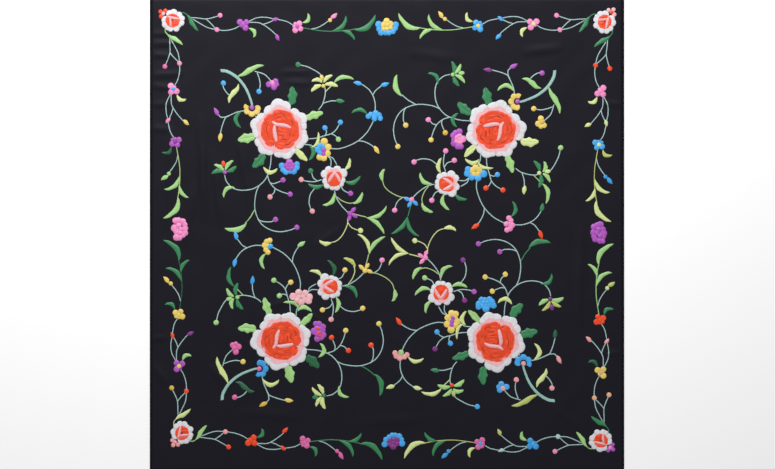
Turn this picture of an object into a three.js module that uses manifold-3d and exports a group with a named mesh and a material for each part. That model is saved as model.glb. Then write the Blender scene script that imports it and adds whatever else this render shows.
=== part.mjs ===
// A flamenco shawl: a square of black silk crepe with a rolled hem, laid flat. It is embroidered with
// a rose spray in each quarter and a garland along each side. Millimetres, +Z up, origin on the floor
// under the middle of the cloth, +X to the right and +Y to the top of the shawl.
import * as THREE from 'three';
import { mergeVertices } from 'three/addons/utils/BufferGeometryUtils.js';
import Module from 'manifold-3d';

const wasm = await Module();
wasm.setup();

// Driving dimensions
const side = 1200; // edge to edge, over the hems
const clothWall = 1.2;
const hemWidth = 4;
const hemHeight = 2.2;
const gap = 0.3; // between pieces that touch
const vinePlate = 0.7; // how thick the padded satin stitch is
const flowerPlate = 0.8;
const heartPlate = 0.6;
const stemWidth = 3.6;
const knotRadius = 6.8;
const budRadius = 5.5;
const budStretch = 1.8;

// Levels, from the floor up
const vineLevel = clothWall + gap;
const flowerLevel = vineLevel + vinePlate + gap;
const heartLevel = flowerLevel + flowerPlate + gap;

const colours = {
  crepe: 0x26252c,
  hem: 0x201f25,
  vine: 0x9cc79a,
  garland: 0x8fbf8a,
  petalWhite: 0xf0d6d6,
  heartRed: 0xdb4630,
  violet: 0xb254be,
  sky: 0x46aaf0,
  gold: 0xecd068,
  pink: 0xf48fc6,
  blush: 0xf6b4b6,
};

// Soft creases in the open ground: middle, direction, length, half width and height
const creases = [
  { x: -466, y: 165, turn: 92, length: 250, halfWidth: 17, height: 1.3 },
  { x: -363, y: 172, turn: 100, length: 80, halfWidth: 13, height: 1.0 },
  { x: 488, y: -110, turn: 88, length: 260, halfWidth: 14, height: 1.0 },
  { x: 395, y: 468, turn: 8, length: 90, halfWidth: 17, height: 1.4 },
  { x: -579, y: 489, turn: 4, length: 30, halfWidth: 12, height: 1.4 },
  { x: -581, y: 454, turn: -3, length: 26, halfWidth: 11, height: 1.5 },
  { x: -577, y: -352, turn: -50, length: 28, halfWidth: 13, height: 1.2 },
];

// The four quarters: where each spray's large rose stands and how far its spray is turned
const quarters = [
  { name: 'tl', x: -273, y: 266, turn: 0 },
  { name: 'tr', x: 275.5, y: 267.5, turn: -90 },
  { name: 'br', x: 276.5, y: -271.7, turn: 180 },
  { name: 'bl', x: -268.4, y: -270.9, turn: 90 },
];

// Flowers are round scallops about a middle, as x, y and radius, filled by a plain body of its own radius.
// One spray, about the middle of its large rose:
const largeRose = {
  x: 0.8,
  y: 1.6,
  body: 57,
  scallops: [
    [16, 57, 13], [-4, 60, 17], [-27, 47, 12], [-46, 28, 12], [-59, 11.5, 15.5], [-51, -7.5, 17.5],
    [-51, -33, 12.5], [-41, -52, 13], [-25, -57, 11], [-2, -61, 12.5], [19, -64, 14], [31, -54, 11],
    [50, -40, 11.5], [60, -25, 13.7], [56, -11, 13.4], [58, 6, 11.4], [56, 26, 15], [38, 41, 11.5],
  ],
  heart: [
    [83, 48], [56, 48], [25, 45], [5, 49], [-33, 52], [-70, 52], [-90, 53], [-108, 43], [-125, 50],
    [-166, 48], [168, 46], [142, 42], [105, 45],
  ],
};
const smallRose = {
  x: 138,
  y: -122,
  body: 25,
  scallops: [
    [23, 11, 12], [9, 20, 10.5], [-13, 20, 9.5], [-22, 9, 11], [-19, -9, 10], [-16, -19, 9.5],
    [-3, -24, 8.5], [8, -24, 9], [17, -15, 9.5], [20, -6, 10],
  ],
  heart: [
    [90, 15], [40, 19], [0, 20], [-45, 24], [-64, 26],
    [-90, 15], [-112, 26], [-135, 22], [180, 18], [140, 17],
  ],
};
const ovalBlossom = {
  x: 109,
  y: -51,
  body: 12,
  scallops: [
    [15, 6, 8.6], [5, 20, 9.3], [-5, 9, 8], [-10, 0, 8.6],
    [-4, -9, 8], [-6, -19, 8.4], [4, -21, 8.4], [13, -10, 8.6],
  ],
};
const fanBlossom = {
  x: 26,
  y: -92,
  body: 11,
  scallops: [
    [19, 3, 8], [8, 4, 7], [0, 8, 9], [-8, 4, 7], [-19, 0, 8],
    [-16, -10, 7], [-9, -15, 8], [3, -14, 7], [11, -14, 8], [18, -5, 8],
  ],
};

// A stem runs through its points; what it ends in is in the tables below
const sprayStems = [
  { from: 'cup', width: 7, points: [[-148, 149], [-130, 146], [-105, 130], [-85, 105], [-66, 50]] },
  { from: 'leaf to rosette', points: [[-64, 147], [-37, 139], [-20, 123], [-12, 100], [-8, 55]] },
  { from: 'left knot', points: [[-60, 146], [-48, 115], [-51, 96]] },
  { from: 'side knot', points: [[-116, 78], [-132, 92], [-143, 113]] },
  { from: 'left buds', points: [[-50, 30], [-105, 44], [-133, 32], [-159, 45]] },
  { from: 'lower left bud', points: [[-133, 32], [-143, 12], [-149, -16]] },
  { from: 'right lily', points: [[50, 25], [100, 50], [115, 80], [114, 112]] },
  { from: 'right bud', points: [[106, 60], [133, 72], [152, 72]] },
  { from: 'lily to top knot', points: [[110, 122], [97, 144], [70, 159], [48, 164]] },
  { from: 'right knots', points: [[50, -22], [115, -16], [132, -11], [144, -1], [155, 18]] },
  { from: 'lower right knot', points: [[128, -12], [150, -25]] },
  { from: 'upper right knot', points: [[115, -18], [116, 4]] },
  { from: 'rose to oval', points: [[48, -32], [80, -40], [100, -47]] },
  { from: 'oval to far flower', points: [[108, -47], [150, -49], [200, -29], [222, -8], [241, 33]] },
  { from: 'far bud', points: [[200, -29], [232, -39], [247, -52]] },
  { from: 'upper far bud', points: [[242, 36], [237, 86], [199, 117]] },
  { from: 'outer far bud', points: [[237, 84], [268, 114]] },
  { from: 'rose to fan', points: [[10, -50], [22, -88]] },
  { from: 'oval to small rose', points: [[112, -56], [131, -78], [134, -112]] },
  { from: 'rose to lower knot', points: [[126, -125], [92, -132], [56, -127]] },
  { from: 'rose to knot', points: [[98, -131], [80, -105]] },
  { from: 'rose to hanging knot', points: [[124, -130], [90, -149], [76, -185], [84, -207]] },
  { from: 'rose to right knot', points: [[146, -132], [181, -162]] },
  { from: 'rose to trefoil', points: [[137, -132], [145, -173], [181, -213]] },
  { from: 'trefoil leaf', points: [[146, -172], [160, -181], [190, -185]] },
  { from: 'trefoil to leaves', points: [[190, -214], [219, -222]] },
  { from: 'trefoil to low leaf', points: [[176, -220], [172, -243], [161, -266], [133, -286]] },
  { from: 'trefoil knot', points: [[173, -236], [206, -256]] },
  {
    from: 'rose to lower lily',
    points: [[-16, -48], [-22, -90], [-52, -143], [-96, -154], [-133, -132], [-138, -112]],
  },
  { from: 'low sweep', points: [[-48, -140], [-62, -190], [-46, -238], [0, -259], [45, -248]] },
  { from: 'low knot', points: [[-54, -227], [-9, -228]] },
  { from: 'low leaf', points: [[-61, -200], [-86, -238]] },
  { from: 'middle knots', points: [[-37, -116], [-12, -148], [28, -164]] },
  { from: 'upper middle knot', points: [[-22, -134], [10, -128]] },
  { from: 'lower middle knot', points: [[-11, -148], [-23, -171]] },
];

const sprayKnots = [
  [-51, 96], [-141, 117], [48, 164], [155, 18], [150, -25], [116, 4], [56, -127], [80, -105],
  [84, -207], [181, -162], [206, -256], [45, -248], [-9, -228], [28, -164], [10, -128], [-23, -171],
].map(([x, y]) => ({ x, y, radius: knotRadius }));

const sprayBuds = [
  { x: -159, y: 45, turn: 125 },
  { x: -149, y: -20, turn: 270 },
  { x: 155, y: 72, turn: 0 },
  { x: 247, y: -52, turn: -50 },
  { x: 199, y: 117, turn: 175 },
  { x: 268, y: 114, turn: 25 },
];

const sprayLeaves = [
  { base: [-112, 131], middle: [-75, 143], tip: [-37, 163], width: 13 },
  { base: [-97, 120], middle: [-110, 92], tip: [-125, 66], width: 12 },
  { base: [-94, 44], middle: [-109, 26], tip: [-96, 4], width: 12 },
  { base: [-52, -18], middle: [-80, -24], tip: [-103, -28], width: 23, broad: true },
  { base: [30, 48], middle: [34, 82], tip: [32, 107], width: 23, broad: true },
  { base: [52, 20], middle: [88, 36], tip: [111, 42], width: 21, broad: true },
  { base: [-28, -45], middle: [-50, -77], tip: [-66, -95], width: 24, broad: true },
  { base: [34, -38], middle: [55, -64], tip: [69, -78], width: 18, broad: true },
  { base: [130, 110], middle: [160, 131], tip: [190, 126], width: 12 },
  { base: [80, -42], middle: [96, -32], tip: [99, -7], width: 9 },
  { base: [76, -40], middle: [86, -58], tip: [75, -78], width: 12 },
  { base: [228, 38], middle: [205, 50], tip: [184, 42], width: 11 },
  { base: [144, -113], middle: [175, -92], tip: [178, -72], width: 11 },
  { base: [148, -124], middle: [184, -134], tip: [201, -118], width: 12 },
  { base: [118, -131], middle: [93, -147], tip: [72, -138], width: 12 },
  { base: [142, -162], middle: [132, -183], tip: [110, -191], width: 12 },
  { base: [188, -188], middle: [203, -178], tip: [211, -159], width: 12 },
  { base: [218, -222], middle: [252, -216], tip: [272, -193], width: 11 },
  { base: [217, -222], middle: [247, -238], tip: [266, -265], width: 12 },
  { base: [138, -284], middle: [115, -288], tip: [102, -280], width: 12 },
  { base: [-23, -90], middle: [-23, -108], tip: [-4, -98], width: 12 },
  { base: [-111, -144], middle: [-133, -152], tip: [-140, -173], width: 11 },
  { base: [-80, -234], middle: [-105, -252], tip: [-138, -250], width: 15 },
];

// Plain discs in the network under the blossoms, which cover them
const sprayHubs = [
  { under: 'large rose', x: 1, y: 1, radius: 60, corners: 12, stretch: 1, turn: 0 },
  { under: 'small rose', x: 138, y: -122, radius: 23, corners: 8, stretch: 1, turn: 0 },
  { under: 'oval blossom', x: 110, y: -50, radius: 12, corners: 6, stretch: 1.3, turn: 90 },
  { under: 'fan blossom', x: 26, y: -94, radius: 11, corners: 6, stretch: 1.4, turn: 0 },
];

// Small flowers of the spray: the cup, the rosette, the far flower and the trefoil
const sprayFlowers = [
  { x: -69, y: 54, body: 6, scallops: [[-13, 0, 9], [-8, -9, 8], [1, -14, 8], [12, -7, 9], [14, 0, 8]] },
  { x: -16, y: 115, body: 6, scallops: [[7, 7, 7], [-10, 1, 7.5], [3, -8, 7.5]] },
  { x: 241, y: 33, body: 7, scallops: [[13, 1, 8], [3, 8, 7.5], [-12, 3, 8], [0, -7, 7]] },
  { x: 180, y: -213, body: 5, scallops: [[11, -5, 6.5], [7, 9, 7], [-2, -11, 7]] },
];

// Lilies: two light petals and two sepals as points out from the middle, and a bud between them
const sprayLilies = [
  { x: 112, y: 112, bud: [-3, 19], petals: [[-29, 9], [24, 25], [-31, -17], [37, -4]], width: 11 },
  { x: -137, y: -109, bud: [-3, 19], petals: [[-28, 20], [22, 30], [-34, -4], [29, 17]], width: 11 },
];

// Half a garland: s runs from the corner rose to the middle flower and t outwards
const garlandRun = 530; // the length that s is charted on
const garlandStems = [
  { points: [[24, 18], [46, 9], [82, 9], [117, 22]] },
  { points: [[46, 6], [85, -12], [150, -10], [174, 2], [190, 12], [230, 22], [256, 19]] },
  { points: [[186, 10], [222, 4], [259, -27]] },
  { points: [[250, 19], [282, 13], [307, 1], [345, -5], [395, -8], [440, -3], [490, 4]] },
  { points: [[343, -5], [372, 8], [399, 30]] },
];
const garlandLeaves = [
  { base: [18, 22], middle: [38, 14], tip: [63, -22], width: 10 },
  { base: [178, -1], middle: [202, -17], tip: [199, -30], width: 12 },
  { base: [309, 3], middle: [336, 20], tip: [333, 35], width: 11 },
  { base: [396, -8], middle: [418, 8], tip: [427, 31], width: 12 },
  { base: [420, -6], middle: [437, -12], tip: [450, -27], width: 11 },
  { base: [446, -2], middle: [478, 5], tip: [500, 36], width: 15 },
];
const garlandFlowers = [
  { s: 174, t: 2, body: 6, scallops: [[8, 5, 7], [-4, 8, 7], [-4, -6, 7], [6, -8, 7]] },
  { s: 308, t: 1, body: 6, scallops: [[7, 8, 7], [-6, 8, 7], [-5, -8, 7], [8, -5, 7]] },
];
const garlandBuds = [
  { s: 117, t: 22, radius: 6.5 },
  { s: 109, t: -15, radius: 6.5 },
  { s: 259, t: -28, radius: 7 },
  { s: 399, t: 30, radius: 8 },
];

// A corner rose is charted as it lies in the top left corner, and turned for the others
const corners = {
  tl: { x: -542, y: 542, turn: 0 },
  tr: { x: 551, y: 538, turn: -90 },
  br: { x: 541, y: -522, turn: 180 },
  bl: { x: -519, y: -502, turn: 90 },
};
const cornerRose = {
  x: 0,
  y: 0,
  body: 20,
  scallops: [
    [16, 14, 8], [2, 19, 10], [-8, 17, 9], [-19, 1, 10], [-18, -10, 10], [-13, -19, 7],
    [-6, -21, 8], [9, -21, 8], [15, -13, 6.5], [21, -6, 8.5], [23, 5, 7.5],
  ],
};
const middles = {
  top: {
    x: 0,
    y: 525,
    colour: 'sky',
    scallops: [
      [22, 4, 8], [10, 10, 8], [-1, 15, 8], [-10, 10, 8], [-21, 4, 9],
      [-18, -9, 9], [-5, -14, 8], [6, -14, 8], [18, -10, 8],
    ],
  },
  right: {
    x: 536,
    y: 4,
    colour: 'violet',
    scallops: [
      [12, -2, 9], [12, 9, 7], [4, 21, 8.5], [-8, 18, 8],
      [-13, 6, 8], [-12, -7, 8], [-8, -17, 8], [6, -21, 8],
    ],
  },
  bottom: {
    x: 16,
    y: -523,
    colour: 'sky',
    scallops: [
      [24, -3, 8], [19, 8, 8], [5, 15, 8], [-6, 13, 8], [-18, 7, 8],
      [-22, -6, 8], [-9, -9, 7], [0, -14, 8], [11, -8, 7],
    ],
  },
  left: {
    x: -526,
    y: 13,
    colour: 'pink',
    scallops: [
      [15, 0, 8], [13, 11, 8], [7, 21, 8], [-5, 23, 8.5],
      [-11, 8, 9], [-9, -8, 8], [-4, -20, 9], [12, -12, 7.5],
    ],
  },
};
const middleBody = 13;

// The eight half garlands, with how far each one is lifted outwards past its first leaf
const halfGarlands = [
  { from: 'tl', to: 'top', lift: -7 },
  { from: 'tr', to: 'top', lift: -3 },
  { from: 'tl', to: 'left', lift: 2 },
  { from: 'bl', to: 'left', lift: 3 },
  { from: 'tr', to: 'right', lift: -7 },
  { from: 'br', to: 'right', lift: 0 },
  { from: 'bl', to: 'bottom', lift: 11 },
  { from: 'br', to: 'bottom', lift: 6 },
];

const shawl = new THREE.Group();

function addMesh(name, geometry, colour, roughness = 0.6) {
  const material = new THREE.MeshStandardMaterial({ color: colour, roughness, metalness: 0 });
  const mesh = new THREE.Mesh(geometry, material);
  mesh.name = name;
  shawl.add(mesh);
  return mesh;
}

// How far the laid cloth stands up in a crease at one place
function creaseHeight(x, y) {
  let height = 0;
  for (const crease of creases) {
    const angle = THREE.MathUtils.degToRad(crease.turn);
    const along = (x - crease.x) * Math.cos(angle) + (y - crease.y) * Math.sin(angle);
    const across = (y - crease.y) * Math.cos(angle) - (x - crease.x) * Math.sin(angle);
    const u = Math.abs(along) / (crease.length / 2 + crease.halfWidth);
    const v = Math.abs(across) / crease.halfWidth;
    if (u < 1 && v < 1) {
      height += crease.height * Math.cos((u * Math.PI) / 2) * Math.cos((v * Math.PI) / 2) ** 2;
    }
  }
  return height;
}

// Grid lines across the cloth: wide apart, and close together where a crease rises
function gridLines(axis, halfSide) {
  const coarse = 290;
  const nearest = 5;
  const lines = [-halfSide, halfSide];
  for (const crease of creases) {
    const angle = THREE.MathUtils.degToRad(crease.turn);
    const run = Math.abs(axis === 'x' ? Math.cos(angle) : Math.sin(angle));
    const rise = Math.sqrt(1 - run * run);
    const reach = run * (crease.length / 2 + crease.halfWidth) + rise * crease.halfWidth;
    const steps = run > rise ? [-1, 0, 1] : [-1, -0.45, 0, 0.45, 1];
    for (const step of steps) lines.push(crease[axis] + reach * step);
  }
  for (let at = -halfSide + coarse; at < halfSide - nearest; at += coarse) lines.push(at);
  const kept = [];
  for (const at of lines) {
    const inside = Math.abs(at) < halfSide - nearest || kept.length < 2;
    if (inside && kept.every((other) => Math.abs(other - at) >= nearest)) kept.push(at);
  }
  return kept.sort((p, q) => p - q);
}

// The ground: a grid with its creases on top, its edge taken down to a flat underside
function clothGeometry() {
  const halfSide = side / 2 - hemWidth - gap;
  const xs = gridLines('x', halfSide);
  const ys = gridLines('y', halfSide);
  const positions = [];
  const index = [];
  for (const y of ys) {
    for (const x of xs) positions.push(x, y, clothWall + creaseHeight(x, y));
  }
  const columns = xs.length;
  for (let row = 0; row + 1 < ys.length; row++) {
    for (let column = 0; column + 1 < columns; column++) {
      const a = row * columns + column;
      const b = a + 1;
      const c = a + columns;
      const d = c + 1;
      index.push(a, b, d, a, d, c);
    }
  }
  const last = ys.length - 1;
  const rim = [];
  for (let column = 0; column < columns - 1; column++) rim.push(column);
  for (let row = 0; row < last; row++) rim.push(row * columns + columns - 1);
  for (let column = columns - 1; column > 0; column--) rim.push(last * columns + column);
  for (let row = last; row > 0; row--) rim.push(row * columns);
  const firstUnder = positions.length / 3;
  for (const corner of rim) positions.push(positions[corner * 3], positions[corner * 3 + 1], 0);
  const middle = positions.length / 3;
  positions.push(0, 0, 0);
  rim.forEach((top, i) => {
    const next = (i + 1) % rim.length;
    const under = firstUnder + i;
    const underNext = firstUnder + next;
    index.push(top, under, underNext, top, underNext, rim[next]);
    index.push(under, middle, underNext);
  });
  const geometry = new THREE.BufferGeometry();
  geometry.setAttribute('position', new THREE.Float32BufferAttribute(positions, 3));
  geometry.setIndex(index);
  geometry.computeVertexNormals();
  return geometry;
}

// A rolled hem: a bar with a rounded top, flat where it lies
function hemGeometry(length) {
  const half = hemWidth / 2;
  const section = new THREE.Shape();
  section.moveTo(-half, 0);
  section.lineTo(half, 0);
  section.lineTo(half, hemHeight * 0.55);
  section.quadraticCurveTo(half * 0.9, hemHeight, 0, hemHeight);
  section.quadraticCurveTo(-half * 0.9, hemHeight, -half, hemHeight * 0.55);
  section.closePath();
  const bar = new THREE.ExtrudeGeometry(section, { depth: length, bevelEnabled: false, curveSegments: 3 });
  bar.translate(0, 0, -length / 2);
  bar.rotateX(Math.PI / 2);
  return bar;
}

function addHems() {
  const out = side / 2 - hemWidth / 2;
  const short = side - 2 * (hemWidth + gap);
  const strips = [
    { name: 'hem_right', length: short, x: out, y: 0, turn: 0 },
    { name: 'hem_left', length: short, x: -out, y: 0, turn: 0 },
    { name: 'hem_top', length: side, x: 0, y: out, turn: 90 },
    { name: 'hem_bottom', length: side, x: 0, y: -out, turn: 90 },
  ];
  for (const strip of strips) {
    const hem = addMesh(strip.name, hemGeometry(strip.length), colours.hem, 0.7);
    hem.position.set(strip.x, strip.y, 0);
    hem.rotation.z = THREE.MathUtils.degToRad(strip.turn);
  }
}

// A closed outline as a plate from one level up
function plate(outline, level, thickness) {
  const shape = new THREE.Shape(outline.map(([x, y]) => new THREE.Vector2(x, y)));
  const settings = { depth: thickness, bevelEnabled: false, curveSegments: 1 };
  const geometry = new THREE.ExtrudeGeometry(shape, settings);
  geometry.translate(0, 0, level);
  return toSolid(geometry);
}

function toSolid(geometry) {
  const bare = geometry.clone();
  bare.deleteAttribute('normal');
  bare.deleteAttribute('uv');
  const merged = mergeVertices(bare, 1e-4);
  return new wasm.Manifold(new wasm.Mesh({
    numProp: 3,
    vertProperties: new Float32Array(merged.attributes.position.array),
    triVerts: new Uint32Array(merged.index.array),
  }));
}

function toGeometry(solid) {
  const mesh = solid.getMesh();
  const geometry = new THREE.BufferGeometry();
  geometry.setAttribute('position', new THREE.BufferAttribute(new Float32Array(mesh.vertProperties), 3));
  geometry.setIndex(new THREE.BufferAttribute(new Uint32Array(mesh.triVerts), 1));
  return geometry;
}

function joined(solids) {
  const slack = 0.6; // corners that change the outline by less than this go
  return solids.reduce((whole, solid) => whole.add(solid)).asOriginal().simplify(slack);
}

// A stem's outline: its points pushed to both sides, with a corner at each one
function stemOutline(points, width) {
  const left = [];
  const right = [];
  points.forEach(([x, y], i) => {
    const [ax, ay] = points[Math.max(i - 1, 0)];
    const [bx, by] = points[Math.min(i + 1, points.length - 1)];
    const length = Math.hypot(bx - ax, by - ay);
    const nx = (-(by - ay) / length) * (width / 2);
    const ny = ((bx - ax) / length) * (width / 2);
    left.push([x - nx, y - ny]);
    right.unshift([x + nx, y + ny]);
  });
  return [...left, ...right];
}

// A leaf's outline: pointed at both ends and widest at its middle point
function leafOutline({ base, middle, tip, width }) {
  const length = Math.hypot(tip[0] - base[0], tip[1] - base[1]);
  const nx = (-(tip[1] - base[1]) / length) * (width / 2);
  const ny = ((tip[0] - base[0]) / length) * (width / 2);
  return [base, [middle[0] - nx, middle[1] - ny], tip, [middle[0] + nx, middle[1] + ny]];
}

// A broad leaf's outline: blunt, with its width kept to near its ends
function broadLeafOutline({ base, middle, tip, width }) {
  const length = Math.hypot(tip[0] - base[0], tip[1] - base[1]);
  const nx = -(tip[1] - base[1]) / length;
  const ny = (tip[0] - base[0]) / length;
  const nearTip = [middle[0] * 0.35 + tip[0] * 0.65, middle[1] * 0.35 + tip[1] * 0.65];
  const half = width / 2;
  const quarter = width / 3.4;
  return [
    base,
    [middle[0] - nx * half, middle[1] - ny * half],
    [nearTip[0] - nx * quarter, nearTip[1] - ny * quarter],
    tip,
    [nearTip[0] + nx * quarter, nearTip[1] + ny * quarter],
    [middle[0] + nx * half, middle[1] + ny * half],
  ];
}

function roundOutline(x, y, radius, corners = 5, stretch = 1, turn = 0) {
  const outline = [];
  const cos = Math.cos(THREE.MathUtils.degToRad(turn));
  const sin = Math.sin(THREE.MathUtils.degToRad(turn));
  for (let i = 0; i < corners; i++) {
    const at = (i / corners) * 2 * Math.PI;
    const u = radius * stretch * Math.cos(at);
    const v = radius * Math.sin(at);
    outline.push([x + u * cos - v * sin, y + u * sin + v * cos]);
  }
  return outline;
}

// How far scallops, or the body under them, reach along a ray from the flower's middle
function reachAlong(scallops, body, angle) {
  let reach = body;
  for (const [x, y, radius] of scallops) {
    const along = x * Math.cos(angle) + y * Math.sin(angle);
    const room = along * along - (x * x + y * y) + radius * radius;
    if (room > 0) reach = Math.max(reach, along + Math.sqrt(room));
  }
  return reach;
}

// A flower's outline: two corners on each scallop, and a notch before the next
function scallopedOutline({ x, y, body, scallops }) {
  const turnOnce = 2 * Math.PI;
  const around = scallops.map(([u, v, radius]) => ({
    heading: (Math.atan2(v, u) + turnOnce) % turnOnce,
    halfWidth: 0.6 * Math.asin(Math.min(1, radius / Math.hypot(u, v))),
  })).sort((p, q) => p.heading - q.heading);
  const outline = [];
  around.forEach(({ heading, halfWidth }, i) => {
    const next = i + 1 < around.length ? around[i + 1].heading : around[0].heading + turnOnce;
    const last = i > 0 ? around[i - 1].heading : around[around.length - 1].heading - turnOnce;
    const first = heading - Math.min(halfWidth, 0.24 * (heading - last));
    const second = heading + Math.min(halfWidth, 0.24 * (next - heading));
    for (const angle of [first, second, (heading + next) / 2]) {
      const reach = reachAlong(scallops, body, angle);
      outline.push([x + reach * Math.cos(angle), y + reach * Math.sin(angle)]);
    }
  });
  return outline;
}

// A heart's outline, from its radius at some headings in degrees
function heartOutline({ x, y, heart }) {
  return heart.map(([degrees, radius]) => {
    const angle = THREE.MathUtils.degToRad(degrees);
    return [x + radius * Math.cos(angle), y + radius * Math.sin(angle)];
  });
}

// The network of one quarter. Under each blossom it runs on as a plain disc, which the blossom covers.
function sprayVine() {
  const stems = sprayStems.map(({ points, width = stemWidth }) => stemOutline(points, width));
  const leaves = sprayLeaves.map((leaf) => (leaf.broad ? broadLeafOutline(leaf) : leafOutline(leaf)));
  const knots = sprayKnots.map(({ x, y, radius }) => roundOutline(x, y, radius));
  const buds = sprayBuds.map(({ x, y, turn }) => roundOutline(x, y, budRadius, 5, budStretch, turn));
  const flowers = sprayFlowers.map(scallopedOutline);
  const lilies = sprayLilies.flatMap(({ x, y, bud, petals, width }) => [
    roundOutline(x + bud[0], y + bud[1], budRadius, 5, budStretch, 100),
    roundOutline(x, y + 5, 9, 6),
    ...petals.map(([u, v]) => leafOutline({
      base: [x, y], middle: [x + u * 0.55, y + v * 0.55 + 3], tip: [x + u, y + v], width,
    })),
  ]);
  const hubs = sprayHubs.map(({ x, y, radius, corners: count, stretch, turn }) => (
    roundOutline(x, y, radius, count, stretch, turn)
  ));
  const outlines = [...stems, ...leaves, ...knots, ...buds, ...flowers, ...lilies, ...hubs];
  return joined(outlines.map((outline) => plate(counterClockwise(outline), vineLevel, vinePlate)));
}

function place(mesh, { x, y, turn }) {
  mesh.position.set(x, y, 0);
  mesh.rotation.z = THREE.MathUtils.degToRad(turn);
}

function addRose(name, rose, quarter) {
  const petals = plate(scallopedOutline(rose), flowerLevel, flowerPlate);
  place(addMesh(name, toGeometry(petals), colours.petalWhite, 0.45), quarter);
  const heart = plate(counterClockwise(heartOutline(rose)), heartLevel, heartPlate);
  place(addMesh(name.replace('rose', 'rose_heart'), toGeometry(heart), colours.heartRed, 0.45), quarter);
}

function addBlossom(name, blossom, quarter, colour) {
  const petals = plate(scallopedOutline(blossom), flowerLevel, flowerPlate);
  place(addMesh(name, toGeometry(petals), colour, 0.45), quarter);
}

function addSprays() {
  const vine = sprayVine();
  for (const quarter of quarters) {
    const { name } = quarter;
    place(addMesh(`vine_${name}`, toGeometry(vine), colours.vine, 0.45), quarter);
    addRose(`rose_${name}`, largeRose, quarter);
    addRose(`small_rose_${name}`, smallRose, quarter);
    addBlossom(`oval_blossom_${name}`, ovalBlossom, quarter, colours.gold);
    addBlossom(`fan_blossom_${name}`, fanBlossom, quarter, colours.violet);
  }
}

// A half garland in its own place: charted points taken along the line from corner to middle
function addHalfGarland({ from, to, lift }) {
  const corner = corners[from];
  const middle = middles[to];
  const run = Math.hypot(middle.x - corner.x, middle.y - corner.y);
  const ax = (middle.x - corner.x) / run;
  const ay = (middle.y - corner.y) / run;
  const across = to === 'top' || to === 'bottom';
  const outX = across ? 0 : Math.sign(middle.x);
  const outY = across ? Math.sign(middle.y) : 0;
  const liftStart = 30;
  const liftEnd = 150;
  const at = ([s, t]) => {
    const along = (s * run) / garlandRun;
    const raised = t + lift * THREE.MathUtils.smoothstep(s, liftStart, liftEnd);
    return [corner.x + ax * along + outX * raised, corner.y + ay * along + outY * raised];
  };
  const stems = garlandStems.map(({ points }) => stemOutline(points.map(at), stemWidth));
  const leaves = garlandLeaves.map((leaf) => leafOutline({
    base: at(leaf.base), middle: at(leaf.middle), tip: at(leaf.tip), width: leaf.width,
  }));
  const buds = garlandBuds.map(({ s, t, radius }) => roundOutline(...at([s, t]), radius));
  const flowers = garlandFlowers.map(({ s, t, body, scallops }) => (
    scallopedOutline({ x: 0, y: 0, body, scallops }).map(([u, v]) => at([s + u, t + v]))
  ));
  const outlines = [...stems, ...leaves, ...buds, ...flowers].map(counterClockwise);
  const solid = joined(outlines.map((outline) => plate(outline, vineLevel, vinePlate)));
  addMesh(`garland_${from}_${to}`, toGeometry(solid), colours.garland, 0.45);
}

function counterClockwise(outline) {
  const points = outline.map(([x, y]) => new THREE.Vector2(x, y));
  return THREE.ShapeUtils.isClockWise(points) ? [...outline].reverse() : outline;
}

function addBorder() {
  halfGarlands.forEach(addHalfGarland);
  for (const [name, corner] of Object.entries(corners)) {
    const solid = plate(scallopedOutline(cornerRose), flowerLevel, flowerPlate);
    place(addMesh(`corner_rose_${name}`, toGeometry(solid), colours.blush, 0.45), corner);
  }
  for (const [name, { x, y, scallops, colour }] of Object.entries(middles)) {
    const solid = plate(scallopedOutline({ x, y, body: middleBody, scallops }), vineLevel, flowerPlate);
    addMesh(`middle_flower_${name}`, toGeometry(solid), colours[colour], 0.45);
  }
}

addMesh('ground_cloth', clothGeometry(), colours.crepe, 0.75);
addHems();
addSprays();
addBorder();

export default shawl;
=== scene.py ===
import math

import bpy
import numpy as np
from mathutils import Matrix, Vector


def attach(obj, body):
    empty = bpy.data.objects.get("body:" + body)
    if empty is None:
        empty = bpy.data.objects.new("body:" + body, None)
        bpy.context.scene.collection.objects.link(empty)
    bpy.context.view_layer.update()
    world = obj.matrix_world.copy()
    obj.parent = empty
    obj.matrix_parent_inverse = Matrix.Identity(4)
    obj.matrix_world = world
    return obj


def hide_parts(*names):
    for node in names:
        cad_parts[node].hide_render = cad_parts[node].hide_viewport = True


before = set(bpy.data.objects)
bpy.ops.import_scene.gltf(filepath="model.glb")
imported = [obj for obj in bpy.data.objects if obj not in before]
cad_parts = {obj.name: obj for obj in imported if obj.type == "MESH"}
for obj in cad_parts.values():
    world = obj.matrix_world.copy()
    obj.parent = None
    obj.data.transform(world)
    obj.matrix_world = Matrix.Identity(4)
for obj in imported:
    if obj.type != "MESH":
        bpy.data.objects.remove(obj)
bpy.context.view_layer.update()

mm = 0.001
rng = np.random.default_rng(7)

# Thread colours as they show under soft white light, in sRGB
threads = {
    "white": (226, 226, 230), "blush": (242, 184, 190), "poppy": (246, 76, 32), "brick": (170, 42, 22),
    "sky": (72, 172, 240), "azure": (60, 162, 228), "violet": (178, 86, 190), "plum": (134, 54, 140),
    "gold": (236, 208, 106), "amber": (220, 184, 74), "pink": (246, 146, 200), "rose": (226, 108, 170),
    "salmon": (240, 166, 168), "peach": (232, 180, 140), "apple": (164, 213, 134),
    "pistachio": (214, 228, 152), "olive": (190, 200, 112), "pine": (54, 134, 86), "moss": (36, 100, 64),
    "mint": (174, 208, 204), "stalk": (154, 196, 187), "reed": (180, 206, 130),
}

# The cloth. Its creases are lower by press underneath, and go down to the share edgeRise at its edge.
cloth = {
    "side": 1200.0, "wall": 1.2, "cell": 6.0, "ripple": 1.0, "rippleSize": 84.0, "wander": 0.06,
    "press": 0.4, "edgeBand": 14.0, "edgeRise": 0.35,
}
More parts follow.
